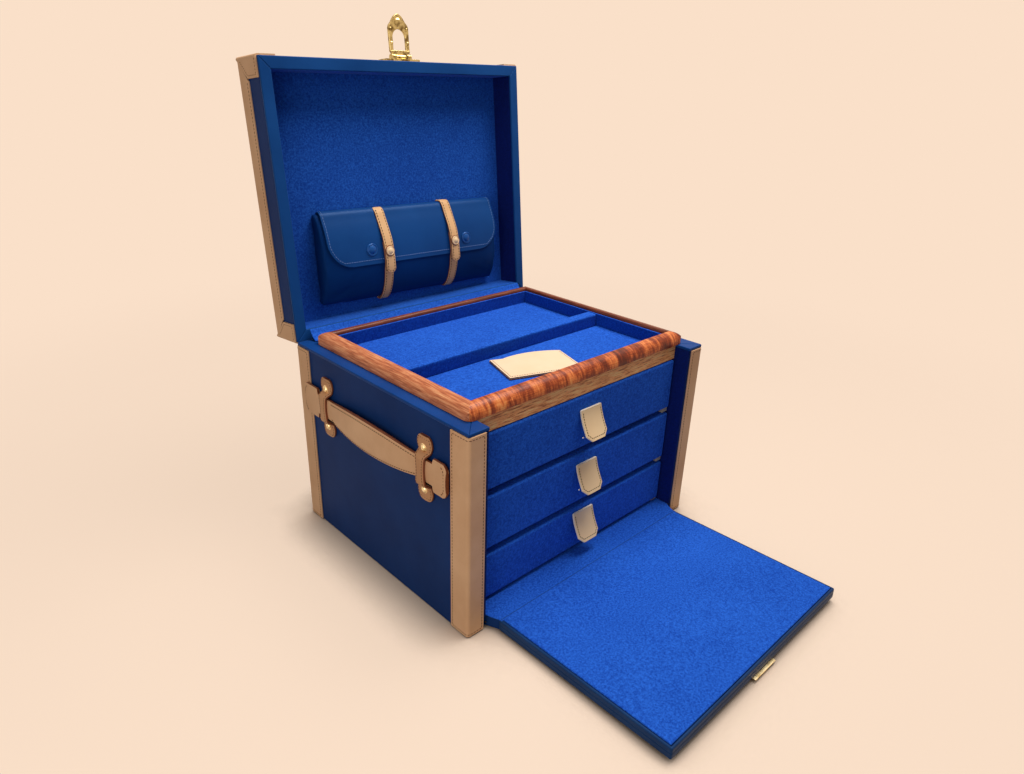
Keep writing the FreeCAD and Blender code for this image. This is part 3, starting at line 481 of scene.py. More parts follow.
class Shape:  # solids gathered into one mesh
    def __init__(self, turn=upright):
        self.turn = turn
        self.points = []
        self.faces = []
        self.finishes = []

    def add(self, points, faces, finishes):
        start = len(self.points)
        self.points += [self.turn @ Vector(point) for point in points]
        self.faces += [tuple(start + i for i in face) for face in faces]
        self.finishes += finishes if isinstance(finishes, list) else [finishes] * len(faces)

    def loft(self, rings, finish=0, endFinish=0, closed=True):
        count = len(rings[0])
        faces = []
        finishes = []
        for ring in range(len(rings) - 1):
            for i in range(count):
                j = (i + 1) % count
                low = ring * count
                faces.append((low + i, low + j, low + count + j, low + count + i))
                finishes.append(finish[i] if isinstance(finish, list) else finish)
        if closed:
            last = (len(rings) - 1) * count
            faces += [tuple(range(count))[::-1], tuple(range(last, last + count))]
            finishes += [endFinish] * 2
        self.add([point for ring in rings for point in ring], faces, finishes)

    def prism(self, outline, low, high, radius=0.5, rounds=3, finish=0, cutFinish=None):
        bm = bmesh.new()
        bottom = [bm.verts.new((x, y, low)) for x, y in outline]
        top = [bm.verts.new((x, y, high)) for x, y in outline]
        bm.faces.new(bottom[::-1])
        bm.faces.new(top)
        for i in range(len(outline)):
            j = (i + 1) % len(outline)
            bm.faces.new((bottom[i], bottom[j], top[j], top[i]))
        bm.normal_update()
        sharp = [edge for edge in bm.edges if edge.calc_face_angle(0) > math.radians(25)]
        bmesh.ops.bevel(
            bm, geom=sharp, offset=radius, offset_type="OFFSET", segments=rounds, profile=0.5,
            affect="EDGES", clamp_overlap=True,
        )
        bm.verts.index_update()
        bm.normal_update()
        cut = finish if cutFinish is None else cutFinish
        finishes = [finish if abs(face.normal.z) > 0.5 else cut for face in bm.faces]
        points = [vertex.co.copy() for vertex in bm.verts]
        faces = [[vertex.index for vertex in face.verts] for face in bm.faces]
        self.add(points, faces, finishes)
        bm.free()

    def block(self, low, high, radius=0.5, rounds=3, finish=0, cutFinish=None):
        outline = [(low[0], low[1]), (high[0], low[1]), (high[0], high[1]), (low[0], high[1])]
        self.prism(outline, low[2], high[2], radius, rounds, finish, cutFinish)

    def band(self, trace, halfAt, thick, across, places, crown=0, finish=0, cutFinish=1):
        across = Vector(across)
        rings = []
        for s in places:
            out = trace.along(s).cross(across).normalized()
            half = halfAt(s)
            deep = thick(s) if callable(thick) else thick
            bead = min(deep / 2, half)
            ring = []
            for side, beadShare, lift in bandRing:
                swell = crown * (1 - side * side) if lift == 1 else 0
                sideways = side * (half - bead) + beadShare * bead
                ring.append(trace.point(s) + across * sideways + out * (lift * deep / 2 + swell))
            rings.append(ring)
        finishes = [cutFinish if i in cutFaces else finish for i in range(len(bandRing))]
        self.loft(rings, finishes, cutFinish)

    def lathe(self, profile, base, axis, finish=0, steps=32):
        axis = Vector(axis).normalized()
        side = axis.orthogonal().normalized()
        other = axis.cross(side)
        angles = [math.tau * k / steps for k in range(steps)]
        spokes = [side * math.cos(a) + other * math.sin(a) for a in angles]
        rings = []
        for radius, height in profile:
            middle = Vector(base) + axis * height
            rings.append([middle + spoke * max(radius, 0.02) for spoke in spokes])
        self.loft(rings, finish, finish)

    def stitch(self, route, pitch=3.0, long=2.2, wide=0.75, tall=0.55, finish=0):
        line = Trace([point for point, out in route], [out for point, out in route])
        count = max(1, round(line.length / pitch))
        angles = [math.tau * k / 6 for k in range(6)]
        for k in range(count):
            s = line.length * (k + 0.5) / count
            along = line.along(s)
            out = line.out(s)
            side = along.cross(out).normalized()
            rings = []
            for t, swell in ((-0.5, 0.4), (0, 1), (0.5, 0.4)):
                middle = line.point(s) + along * (t * long) + out * (swell * 0.18 - 0.1)
                rings.append([
                    middle + (side * (math.cos(a) * wide / 2) + out * (math.sin(a) * tall / 2)) * swell
                    for a in angles
                ])
            self.loft(rings, finish, finish)


def makePiece(name, shape, finishes, body=None, stands=(), sharp=40, even=True):
    mesh = bpy.data.meshes.new(name)
    mesh.from_pydata([point * mm for point in shape.points], [], shape.faces)
    for finish in finishes:
        mesh.materials.append(finish)
    mesh.polygons.foreach_set("material_index", shape.finishes)
    bm = bmesh.new()
    bm.from_mesh(mesh)
    bmesh.ops.recalc_face_normals(bm, faces=bm.faces[:])
    bm.to_mesh(mesh)
    bm.free()
    mesh.shade_smooth()
    mesh.set_sharp_from_angle(angle=math.radians(sharp))
    piece = bpy.data.objects.new(name, mesh)
    bpy.context.scene.collection.objects.link(piece)
    if even:
        piece.modifiers.new("evenShading", "WEIGHTED_NORMAL").keep_sharp = True
    if stands:
        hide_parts(*stands)
    if body:
        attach(piece, body)
    return piece


def dressNode(node, finish, bevel=0.0, sharp=30):
    part = frame["nodes"][node]
    if not part.material_slots:
        part.data.materials.append(finish)
    for materialSlot in part.material_slots:
        materialSlot.material = finish
    if bevel:
        part.modifiers.new("joinEdges", "WELD").merge_threshold = 0.00001
        soften = part.modifiers.new("softenEdges", "BEVEL")
        soften.width = bevel * mm
        soften.segments = 3
        soften.limit_method = "ANGLE"
        soften.angle_limit = math.radians(sharp)
        soften.harden_normals = False
        part.modifiers.new("evenShading", "WEIGHTED_NORMAL").keep_sharp = True


# case: boards, leather, rim, trims and lining

for node in ("left_wall_board", "right_wall_board", "back_wall_board", "bottom_board"):
    dressNode(node, greyBoard)
dressNode("case_leather", navyLeather)
dressNode("bottom_leather", navyLeather)

rim = {"round": 0.8}
rimLow, rimHigh = nodeBox("rim_binding")
linedX, linedY = nodeBox("drawer_runners")[1].xy
rimWide = rimHigh.x - linedX
rimShape = Shape()
for turn in (upright, mirrorX):
    rimShape.turn = turn
    corner = (-rimHigh.x, rimLow.y)
    mitre = (-linedX, rimLow.y + rimWide)
    sideStrip = [corner, mitre, (-linedX, linedY), (-rimHigh.x, rimHigh.y)]
    frontStrip = [corner, (-linedX, rimLow.y), mitre]
    rimShape.prism(sideStrip, rimLow.z, rimHigh.z, rim["round"])
    rimShape.prism(frontStrip, rimLow.z, rimHigh.z, rim["round"])
rimShape.turn = upright
notch = {"half": 112.3, "front": 121.1}  # room for the lid hinge's knuckles


def backOutline(inX, inY, outX, outY):
    half = notch["half"]
    front = notch["front"]
    back = [(outX, outY), (half, outY), (half, front), (-half, front), (-half, outY), (-outX, outY)]
    return [(-inX, inY), (inX, inY)] + back


rimShape.prism(backOutline(linedX, linedY, rimHigh.x, rimHigh.y), rimLow.z, rimHigh.z, rim["round"])
makePiece("case_rim", rimShape, [rimLeather], "case", ["rim_binding"])

trim = {
    "thick": 1.5, "round": 3.2, "sideLeg": 21.5, "frontLeg": 17.5, "backLeg": 21.5, "stitchIn": 2.3,
    "soft": 0.45,
}
trimLow, trimHigh = nodeBox("case_corner_trims")


def angleOutline(cornerX, cornerY, sideLeg, endLeg, thick, rounding):
    outer = arcLine((cornerX + rounding, cornerY + rounding), rounding, 180, 270, 8)
    inner = (cornerX + thick, cornerY + thick)
    return outer + [
        (cornerX + endLeg, cornerY),
        (cornerX + endLeg, inner[1]),
        inner,
        (inner[0], cornerY + sideLeg),
        (cornerX, cornerY + sideLeg),
    ]


def angleRoute(cornerX, cornerY, rounding, sideReach, endReach, z):
    bend = arcLine((cornerX + rounding, cornerY + rounding), rounding, 180, 270, 6)
    middle = Vector((cornerX + rounding, cornerY + rounding, z))
    route = [(Vector((cornerX, cornerY + sideReach, z)), Vector((-1, 0, 0)))]
    for x, y in bend:
        point = Vector((x, y, z))
        route.append((point, (point - middle).normalized()))
    return route + [(Vector((cornerX + endReach, cornerY, z)), Vector((0, -1, 0)))]


trimShape = Shape()
trimStitches = Shape()
for turn, endLeg in (
    (upright, trim["frontLeg"]),
    (mirrorX, trim["frontLeg"]),
    (mirrorY, trim["backLeg"]),
    (mirrorX @ mirrorY, trim["backLeg"]),
):
    trimShape.turn = turn
    trimStitches.turn = turn
    outline = angleOutline(trimLow.x, trimLow.y, trim["sideLeg"], endLeg, trim["thick"], trim["round"])
    trimShape.prism(outline, trimLow.z, trimHigh.z, trim["soft"])
    reach = (trim["sideLeg"] - trim["stitchIn"], endLeg - trim["stitchIn"])
    top = angleRoute(trimLow.x, trimLow.y, trim["round"], *reach, trimHigh.z - trim["stitchIn"])
    bottom = angleRoute(trimLow.x, trimLow.y, trim["round"], *reach, trimLow.z + trim["stitchIn"])
    trimStitches.stitch(top)
    trimStitches.stitch(bottom)
    trimStitches.stitch([bottom[0], top[0]])
    trimStitches.stitch([bottom[-1], top[-1]])
makePiece("case_corner_leather", trimShape, [tanLeather], "case", ["case_corner_trims"])
makePiece("case_corner_stitching", trimStitches, [tanThread], "case", even=False)

lining = {"round": 0.7}
caseLow, caseHigh = nodeBox("case_lining")
floorTop = nodeBox("drawer_runners")[0].z
floorFront = nodeBox("bottom_board")[0].y
floorLow = nodeBox("bottom_board")[1].z
caseSuede = Shape()
for turn in (upright, mirrorX):
    caseSuede.turn = turn
    far = (-linedX, caseHigh.y, caseHigh.z)
    # the side walls take the near-black suede: painted shade
    caseSuede.block((caseLow.x, caseLow.y, floorTop), far, lining["round"], finish=1)
caseSuede.turn = upright
caseSuede.block((-linedX, linedY, floorTop), (linedX, caseHigh.y, caseHigh.z), lining["round"])
caseSuede.block((caseLow.x, floorFront, floorLow), (caseHigh.x, caseHigh.y, floorTop), lining["round"])
makePiece("case_suede", caseSuede, [blueSuede, paintedShadeSideSuede], "case", ["case_lining"])
dressNode("drawer_runners", paleRunner, 0.5)
print("case covered")


# handles, keepers and rivets

handle = {
    "thick": 5.0, "thin": 3.2, "crown": 0.5, "neck": 10.2, "head": 15.2, "backHead": 87.5,
    "frontHead": -87.0, "shoulder": 1.6, "headRound": 6.0, "grip": 15.2, "gripMiddle": -1.0,
    "gripHalf": 63.0, "stitchIn": 2.6, "stitchLift": 0.27,
    "thread": {"pitch": 2.8, "long": 2.0, "wide": 0.85},
}
gripLow, gripHigh = nodeBox("left_handle_grip")
gripZ = (gripLow.z + gripHigh.z) / 2
gripFace = gripHigh.x
gripBow = gripFace - gripLow.x - handle["thick"]


def gripBulge(y):
    return max(0, 1 - ((y - handle["gripMiddle"]) / handle["gripHalf"]) ** 2)


def gripThick(y):
    return handle["thin"] + (handle["thick"] - handle["thin"]) * gripBulge(y) ** 0.7


def gripHalfAt(y, inset=0.0):
    intoHead = max(y - handle["backHead"], handle["frontHead"] - y) / handle["shoulder"] + 1
    if intoHead > 0:
        rise = math.sin(min(intoHead, 1) * math.pi / 2)
        half = handle["neck"] + (handle["head"] - handle["neck"]) * rise
        return roundedHalf(half - inset, handle["headRound"], min(gripHigh.y - y, y - gripLow.y) - inset)
    return handle["neck"] + (handle["grip"] - handle["neck"]) * gripBulge(y) - inset


def gripMarks():
    ends = [handle["headRound"] * (1 - math.cos(math.pi * k / 16)) for k in range(9)]
    marks = [gripHigh.y - end for end in ends] + [gripLow.y + end for end in ends]
    for k in range(-1, 5):
        step = handle["shoulder"] * k / 4
        marks += [handle["backHead"] - step, handle["frontHead"] + step]
    marks += [handle["gripMiddle"] + handle["gripHalf"] * k / 16 for k in range(-17, 18)]
    return sorted(marks, reverse=True)


keeper = {
    "spacing": 146.0, "half": 28.75, "thick": 2.5, "crown": 0.3, "waist": 5.0, "wide": 9.8, "tip": 4.6,
    "tipLong": 8.0, "bridge": 11.4, "foot": 15.8, "play": 0.1, "stitchIn": 1.7, "stitchLift": 0.1,
    "thread": {"pitch": 2.6, "long": 1.9, "wide": 0.75, "tall": 0.45},
}
rivet = {"radius": 3.0, "height": 1.8, "fromEnd": 10.25, "brim": 0.7, "rise": 0.5, "sunk": 0.2}
keeperFoot = nodeBox("case_leather")[0].x
keeperLift = keeperFoot - gripFace + handle["thin"] + handle["crown"] + keeper["play"]


def keeperHalfAt(s, inset=0.0):
    z = abs(s - keeper["half"])
    flank = keeper["half"] - keeper["tipLong"]
    if z > flank:
        share = min((z - flank) / keeper["tipLong"], 1)
        swell = math.sqrt(max(1 - share ** 2.2, 0))
        return keeper["tip"] + (keeper["wide"] - keeper["tip"]) * swell - inset
    share = z / flank
    return keeper["waist"] + (keeper["wide"] - keeper["waist"]) * (share ** 2.2) - inset


def keeperLine(y):
    line = []
    for k in range(116):
        z = keeper["half"] * (2 * k / 115 - 1)
        rise = 1 - min(max((abs(z) - keeper["bridge"]) / (keeper["foot"] - keeper["bridge"]), 0), 1)
        rise = rise * rise * (3 - 2 * rise)
        line.append((keeperFoot - keeper["thick"] / 2 - keeperLift * rise, y, gripZ + z))
    return Trace(line)


def edgeRoute(trace, halfAt, across, lift, places):
    left = []
    right = []
    for s in places:
        out = trace.along(s).cross(Vector(across)).normalized()
        rise = lift(s) if callable(lift) else lift
        for line, sign in ((left, -1), (right, 1)):
            line.append((trace.point(s) + Vector(across) * (halfAt(s) * sign) + out * rise, out))
    return left, right


keeperShape = Shape()
keeperStitches = Shape()
rivetShape = Shape()
brim = rivet["radius"] + rivet["brim"]
dome = [(brim, 0), (brim, 0.7 * rivet["rise"]), (rivet["radius"], rivet["rise"])]
for a in (0.35, 0.7, 1.05, 1.35, 1.55):
    dome.append((rivet["radius"] * math.cos(a), rivet["rise"] + rivet["height"] * math.sin(a)))
for side, turn in (("left", upright), ("right", mirrorX)):
    marks = gripMarks()
    trace = Trace([(gripFace - gripThick(y) / 2 - gripBow * gripBulge(y), y, gripZ) for y in marks])
    thicks = {s: gripThick(y) for s, y in zip(trace.marks, marks)}
    halves = {s: gripHalfAt(y) for s, y in zip(trace.marks, marks)}
    insets = {s: gripHalfAt(y, handle["stitchIn"]) for s, y in zip(trace.marks, marks)}
    swell = Shape(turn)
    swell.band(trace, halves.get, thicks.get, (0, 0, 1), trace.marks, handle["crown"])
    finishes = [tanLeather, burnishedEdge]
    makePiece(side + "_handle", swell, finishes, "case", [side + "_handle_grip"])
    sew = Shape(turn)

    def faceAt(s):
        return thicks[s] / 2 + handle["stitchLift"]

    reach = handle["gripHalf"] + 1
    gripPart = [s for s, y in zip(trace.marks, marks) if abs(y - handle["gripMiddle"]) < reach]
    for line in edgeRoute(trace, insets.get, (0, 0, 1), faceAt, gripPart):
        sew.stitch(line, **handle["thread"])
    for sign, start in ((1, handle["backHead"]), (-1, handle["frontHead"])):
        end = gripHigh.y if sign == 1 else gripLow.y
        inside = [
            s for s, y in zip(trace.marks, marks)
            if sign * (y - start) > 1 and sign * (end - y) > handle["stitchIn"]
        ]
        left, right = edgeRoute(trace, insets.get, (0, 0, 1), faceAt, inside)
        loop = left[::-1] + right if sign == 1 else left + right[::-1]
        sew.stitch(loop, **handle["thread"])
    makePiece(side + "_handle_stitching", sew, [tanThread], "case", even=False)
    for y in (-keeper["spacing"] / 2, keeper["spacing"] / 2):
        keeperShape.turn = keeperStitches.turn = rivetShape.turn = turn
        trace = keeperLine(y)
        step = trace.length / (2 * keeper["half"])

        def halfHere(s, inset=0.0):
            return keeperHalfAt(s / step, inset)

        places = stations(trace.length, 1.6, keeper["tipLong"], keeper["tipLong"])
        keeperShape.band(trace, halfHere, keeper["thick"], (0, 1, 0), places, keeper["crown"])
        inside = [s for s in places if keeper["stitchIn"] < s < trace.length - keeper["stitchIn"]]

        def sewnAt(s):
            return halfHere(s, keeper["stitchIn"])

        lift = keeper["thick"] / 2 + keeper["stitchLift"]
        left, right = edgeRoute(trace, sewnAt, (0, 1, 0), lift, inside)
        keeperStitches.stitch(left + right[::-1] + left[:1], **keeper["thread"])
        for sign in (-1, 1):
            z = gripZ + sign * (keeper["half"] - rivet["fromEnd"])
            rivetShape.lathe(dome, (keeperFoot - keeper["thick"] - rivet["sunk"], y, z), (-1, 0, 0))
keeperFinishes = [paintedShadeKeeperLeather, burnishedEdge]
makePiece("handle_keeper_leather", keeperShape, keeperFinishes, "case", ["handle_keepers"])
makePiece("handle_keeper_stitching", keeperStitches, [tanThread], "case", even=False)
makePiece("handle_brass_rivets", rivetShape, [paleBrass], "case", ["handle_rivets"])
print("handles fitted")


# drawers

drawer = {
    "round": 2.1, "wall": 7.0, "floor": 3.0, "lining": 1.0, "floorRound": 0.45, "wallRound": 0.4,
    "liningDrop": 0.6,
}
tab = {
    "wide": 27.5, "thick": 2.0, "crown": 0.2, "drop": 27.6, "flare": 11.6, "curve": 1.5, "chamfer": 5.4,
    "slope": 0.95, "topRound": 1.2, "topSlope": 0.6, "stitchIn": 2.2, "stitchLift": 0.18, "keep": 0.24,
    "thread": {"pitch": 2.4, "long": 1.8, "wide": 0.75},
}
pinPlace = {"top": (-4.2, 129.3), "middle": (-4.1, 75.7)}
pin = {"radius": 1.0, "height": 0.8, "crown": 0.7, "sides": 16}


def tabHalfAt(s, length, inset=0.0):
    half = tab["wide"] / 2 - inset
    toEnd = length - s
    if toEnd < tab["chamfer"]:
        half -= (tab["chamfer"] - toEnd) * tab["slope"]
    if s < tab["topRound"]:
        half -= (tab["topRound"] - s) * tab["topSlope"]
    return half


for name in ("bottom", "middle", "top"):
    body = name + "_drawer"
    low, high = nodeBox(body + "_front")
    front = Shape()
    front.block(low, high, drawer["round"], 5)
    makePiece(body + "_suede_front", front, [blueSuede], body, [body + "_front"])
    dressNode(body + "_box", drawerPaper, 0.5)
    boxLow, boxHigh = nodeBox(body + "_box")
    edge = boxLow.x + drawer["wall"]
    lip = edge + drawer["lining"]
    backY = boxHigh.y - drawer["wall"]
    floorZ = boxLow.z + drawer["floor"]
    liningTop = floorZ + drawer["lining"]
    wallTop = boxHigh.z - drawer["liningDrop"]
    lined = Shape()
    lined.block((edge, boxLow.y, floorZ), (-edge, backY, liningTop), drawer["floorRound"])
    for turn in (upright, mirrorX):
        lined.turn = turn
        lined.block((edge, boxLow.y, liningTop), (lip, backY, wallTop), drawer["wallRound"])
    lined.turn = upright
    for y in (boxLow.y, backY - drawer["lining"]):
        lined.block((lip, y, liningTop), (-lip, y + drawer["lining"], wallTop), drawer["wallRound"])
    makePiece(body + "_suede_lining", lined, [blueSuede], body)
    tabLow, tabHigh = nodeBox(body + "_tab")
    tabX = (tabLow.x + tabHigh.x) / 2
    line = []
    for k in range(25):
        share = k / 24
        out = tab["thick"] / 2 + tab["flare"] * share ** tab["curve"]
        line.append((tabX, low.y - out, tabHigh.z - tab["drop"] * share))
    trace = Trace(line)
    pull = Shape()
    places = stations(trace.length - tab["chamfer"], 1.5)
    places += [trace.length - tab["chamfer"] * (1 - k / 4) for k in range(1, 5)]
    tabPlaces = [tab["topRound"] / 3, tab["topRound"]] + places[1:]
    pull.band(
        trace, lambda s: tabHalfAt(s, trace.length), tab["thick"], (1, 0, 0), tabPlaces, tab["crown"]
    )
    tabFinishes = [paleLeather, creamEdgeAndHighlight]
    tabPiece = makePiece(body + "_pull_tab", pull, tabFinishes, body, [body + "_tab"])
    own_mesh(tabPiece)
    sew = Shape()
    inset = tab["stitchIn"]
    sewn = [s for s in places if inset < s < trace.length - inset]

    def sewnAt(s):
        return tabHalfAt(s, trace.length - inset * 0.6, inset)

    left, right = edgeRoute(trace, sewnAt, (1, 0, 0), tab["thick"] / 2 + tab["stitchLift"], sewn)
    sew.stitch(left + right[::-1], **tab["thread"])
    sewPiece = makePiece(body + "_tab_stitching", sew, [darkThread], body, even=False)
    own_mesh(sewPiece)
    if name in pinPlace:
        stud = Shape()
        x, z = pinPlace[name]
        radius = pin["radius"]
        profile = [(radius, -0.3), (radius, 0.2), (radius * pin["crown"], 0.6), (0, pin["height"])]
        stud.lathe(profile, (x, low.y, z), (0, -1, 0), steps=pin["sides"])
        makePiece(body + "_pin_head", stud, [nickel], body)
print("drawers dressed")


# drop front: wrapped leather board, suede pad, catch and hinge strips

panel = {"lip": 1.3, "round": 1.5, "padIn": 1.0, "padRound": 1.3, "seam": 0.55}
skinLow, skinHigh = nodeBox("front_panel_leather", panelTilt)
padLow, padHigh = nodeBox("front_panel_lining", panelTilt)
wrap = Shape(panelTilt)


def wrappedBoard(shape, low, high, lip, rounding):
    # leather turned up round the board's edge and over it in a soft lip beside the pad
    top = high.z + lip
    profile = [(2.3, high.z - 0.6), (2.25, top - 0.55), (1.95, top - 0.12), (1.5, top), (0.95, top - 0.05)]
    profile += [(0.45, top - 0.35), (0.12, top - 0.85), (0, top - 1.5)]
    seam = low.z + (top - low.z) * panel["seam"]
    profile += [(0, seam + 0.5), (0.35, seam + 0.2), (0.35, seam - 0.2), (0, seam - 0.5)]
    turnDown = (1.57, 1.18, 0.79, 0.39, 0)
    profile += [(rounding * (1 - math.sin(a)), low.z + rounding * (1 - math.cos(a))) for a in turnDown]
    corners = ((high.x, high.y, 0), (low.x, high.y, 90), (low.x, low.y, 180), (high.x, low.y, 270))
    rings = []
    for inset, z in profile:
        ring = []
        for cornerX, cornerY, start in corners:
            radius = max(rounding - inset, 0.15)
            signX = 1 if cornerX > 0 else -1
            signY = 1 if start in (0, 90) else -1
            middle = (cornerX - signX * (inset + radius), cornerY - signY * (inset + radius))
            ring += [Vector((x, y, z)) for x, y in arcLine(middle, radius, start, start + 90, 5)]
        rings.append(ring)
    shape.loft(rings)


wrappedBoard(wrap, skinLow, skinHigh, panel["lip"], panel["round"])
boardNodes = ["front_panel_leather", "front_panel_board"]
makePiece("front_panel_wrap", wrap, [paintedLightPanelLeather], "drop_front", boardNodes)
pad = Shape(panelTilt)
padIn = Vector((panel["padIn"], panel["padIn"], 0))
pad.block(padLow + padIn, padHigh - padIn, panel["padRound"], 5)
makePiece("front_panel_suede", pad, [blueSuede], "drop_front", ["front_panel_lining"])
dressNode("front_catch", paintedLightCatchBrass, 0.3)
for node in ("front_hinge_base_leaf", "front_hinge_panel_leaf", "front_hinge_pin"):
    dressNode(node, darkHingeBrass, 0.15)

strip = {
    "thick": 0.9, "underDrawer": -111.5, "sunk": 0.25, "sag": 0.6, "caseHalf": 128.6, "panelHalf": 123.4,
    "narrowFrom": -121.0, "padLap": 0.3, "crease": 0.7, "endIn": 0.3, "wall": 0.9, "wallTop": 9.4,
}
suedeLow, suedeHigh = nodeBox("front_hinge_suede")
padBack = panelTilt @ Vector((0, padHigh.y - panel["padIn"] - strip["padLap"], padHigh.z))


def stripHalf(y):
    share = min(max((strip["narrowFrom"] - y) / (strip["narrowFrom"] - suedeLow.y), 0), 1)
    return strip["caseHalf"] + (strip["panelHalf"] - strip["caseHalf"]) * share


bedZ = floorTop + strip["thick"] / 2 - strip["sunk"]
endZ = padBack.z - strip["thick"] / 2 - strip["crease"]
bridge = Trace(smoothLine([
    (0, strip["underDrawer"], bedZ),
    (0, strip["narrowFrom"], bedZ),
    (0, (suedeLow.y + suedeHigh.y) / 2, bedZ - strip["sag"]),
    (0, suedeLow.y, endZ - 0.1),
    (0, padBack.y, endZ),
], 8))
suedeStrip = Shape()
places = stations(bridge.length, 0.9)


def bridgeHalf(s):
    return stripHalf(bridge.point(s).y)


suedeStrip.band(bridge, bridgeHalf, strip["thick"], (-1, 0, 0), places, cutFinish=0)
suedePiece = makePiece(
    "front_hinge_suede_strip", suedeStrip, [blueSuede], None, ["front_hinge_suede"]
)
meanHalf = sum(bridgeHalf(s) for s in places) / len(places)
flatSize = (2 * meanHalf * mm, bridge.length * mm)
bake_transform(suedePiece)

underLow, underHigh = nodeBox("front_hinge_leather")
underStrip = Shape()
rings = []
for k in range(17):
    y = underHigh.y + (underLow.y - underHigh.y) * k / 16
    half = stripHalf(y) - strip["endIn"]
    inner = half - strip["wall"]
    low = underLow.z
    bed = low + strip["wall"]
    top = strip["wallTop"]
    outside = [(-half, y, top), (-half, y, low), (half, y, low), (half, y, top)]
    rings.append(outside + [(inner, y, top), (inner, y, bed), (-inner, y, bed), (-inner, y, top)])
underStrip.loft(rings)
underPiece = makePiece(
    "front_hinge_leather_strip", underStrip, [navyLeather], None, ["front_hinge_leather"]
)
underWide = 2 * (stripHalf((underLow.y + underHigh.y) / 2) + strip["wallTop"] - underLow.z)
flatSize = (underWide * mm, (underHigh.y - underLow.y) * mm)
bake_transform(underPiece)
print("drop front covered")


# lift-out tray and the card pocket in it

dressNode("tray_front_moulding", frontWood, 0.4)
dressNode("tray_back_moulding", backWood, 0.4)
dressNode("tray_left_moulding", sideWood, 0.4)
dressNode("tray_right_moulding", rightWood, 0.4)
dressNode("tray_floor", greyBoard)

trayLine = {"wall": 1.6, "round": 0.7, "padRound": 0.9, "dividerRound": 2.4}
bedLow, bedHigh = nodeBox("tray_lining")
divLow, divHigh = nodeBox("tray_divider")
traySuede = Shape()
wall = trayLine["wall"]
for x in (bedLow.x, bedHigh.x - wall):
    far = (x + wall, bedHigh.y, bedHigh.z)
    traySuede.block((x, bedLow.y, bedLow.z), far, trayLine["round"], cutFinish=1)
for y in (bedLow.y, bedHigh.y - wall):
    far = (bedHigh.x - wall, y + wall, bedHigh.z)
    traySuede.block((bedLow.x + wall, y, bedLow.z), far, trayLine["round"], cutFinish=1)
for front, back in ((bedLow.y + wall, divLow.y), (divHigh.y, bedHigh.y - wall)):
    far = (bedHigh.x - wall, back, divLow.z)
    traySuede.block((bedLow.x + wall, front, bedLow.z), far, trayLine["padRound"])
# upright faces take the darker suede: painted shade
traySuedes = [blueSuede, paintedShadeWallSuede]
makePiece("tray_suede", traySuede, traySuedes, "tray", ["tray_lining"])
divider = Shape()
divider.block((divLow.x, divLow.y, bedLow.z), divHigh, trayLine["dividerRound"], 5, cutFinish=1)
makePiece("tray_divider_suede", divider, traySuedes, "tray", ["tray_divider"])

card = {
    "wide": 73.0, "deep": 51.0, "arch": 7.0, "turn": -18.8, "centre": (-7.9, -50.4), "shelf": 12.5,
    "layer": 1.15, "glue": 0.05, "soft": 0.3, "topSoft": 0.35, "stitchIn": 2.0, "stitchLift": 0.12,
    "thread": {"pitch": 2.4, "long": 1.7, "wide": 0.6, "tall": 0.35},
}
cardPlace = Matrix.Translation((*card["centre"], nodeBox("card_pocket")[0].z))
cardTurn = cardPlace @ Matrix.Rotation(math.radians(card["turn"]), 4, "Z")
half = card["wide"] / 2
front = -card["deep"] / 2
back = card["deep"] / 2 - card["arch"]
archLine = []
for k in range(17):
    lift = math.sin(math.pi * (0.06 + 0.94 * k / 16)) ** 0.8
    archLine.append((half - (2 * half - card["shelf"]) * k / 16, back + card["arch"] * lift))
pocketTop = [(-half, front), (half, front)] + archLine + [(-half, back + 0.9)]
pocketUnder = [(-half, front), (half, front), (half, back + 1.5), (-half, back + 1.6)]
pocket = Shape(cardTurn)
pocket.prism(pocketUnder, 0, card["layer"], card["soft"], cutFinish=1)
topLow = card["layer"] + card["glue"]
pocket.prism(pocketTop, topLow, topLow + card["layer"], card["topSoft"], cutFinish=1)
cardFinishes = [cardLeather, burnishedEdge]
makePiece("card_pocket_leather", pocket, cardFinishes, "pocket", ["card_pocket"])
sew = Shape(cardTurn)
topZ = 2 * card["layer"] + card["stitchLift"]
inset = card["stitchIn"]
up = Vector((0, 0, 1))
sewnX = half - inset
sewnY = front + inset
corners = [(-sewnX, back - 1), (-sewnX, sewnY), (sewnX, sewnY), (sewnX, back)]
for a, b in zip(corners, corners[1:]):
    sew.stitch([(Vector((*a, topZ)), up), (Vector((*b, topZ)), up)], **card["thread"])
makePiece("card_pocket_stitching", sew, [paleThread], "pocket", even=False)
print("tray lined")


# lid: leather, rim, tan edges and corners, lining

for node in ("lid_top_board", "lid_wall_boards"):
    dressNode(node, greyBoard)
dressNode("lid_leather", navyLeather)
for node in ("lid_hinge_base_leaf", "lid_hinge_lid_leaf", "lid_hinge_pin"):
    dressNode(node, darkHingeBrass, 0.15)
nail = {"count": 6, "half": 95.0, "reach": 12.0, "face": 1.1}
nailHead = [(2.6, -0.2), (2.6, 0.15), (2.2, 0.5), (1.2, 0.7), (0, 0.75)]
lidPin = Vector(lidHinge["pos_m"]) / mm
for body, turn, sign in (("case", upright, -1), ("lid", lidTurn, 1)):
    nails = Shape(turn)
    for k in range(nail["count"]):
        x = nail["half"] * (2 * k / (nail["count"] - 1) - 1)
        base = (x, lidPin.y + nail["face"], lidPin.z + sign * nail["reach"])
        nails.lathe(nailHead, base, (0, 1, 0), steps=16)
    makePiece(body + "_hinge_nails", nails, [paleBrass], body)

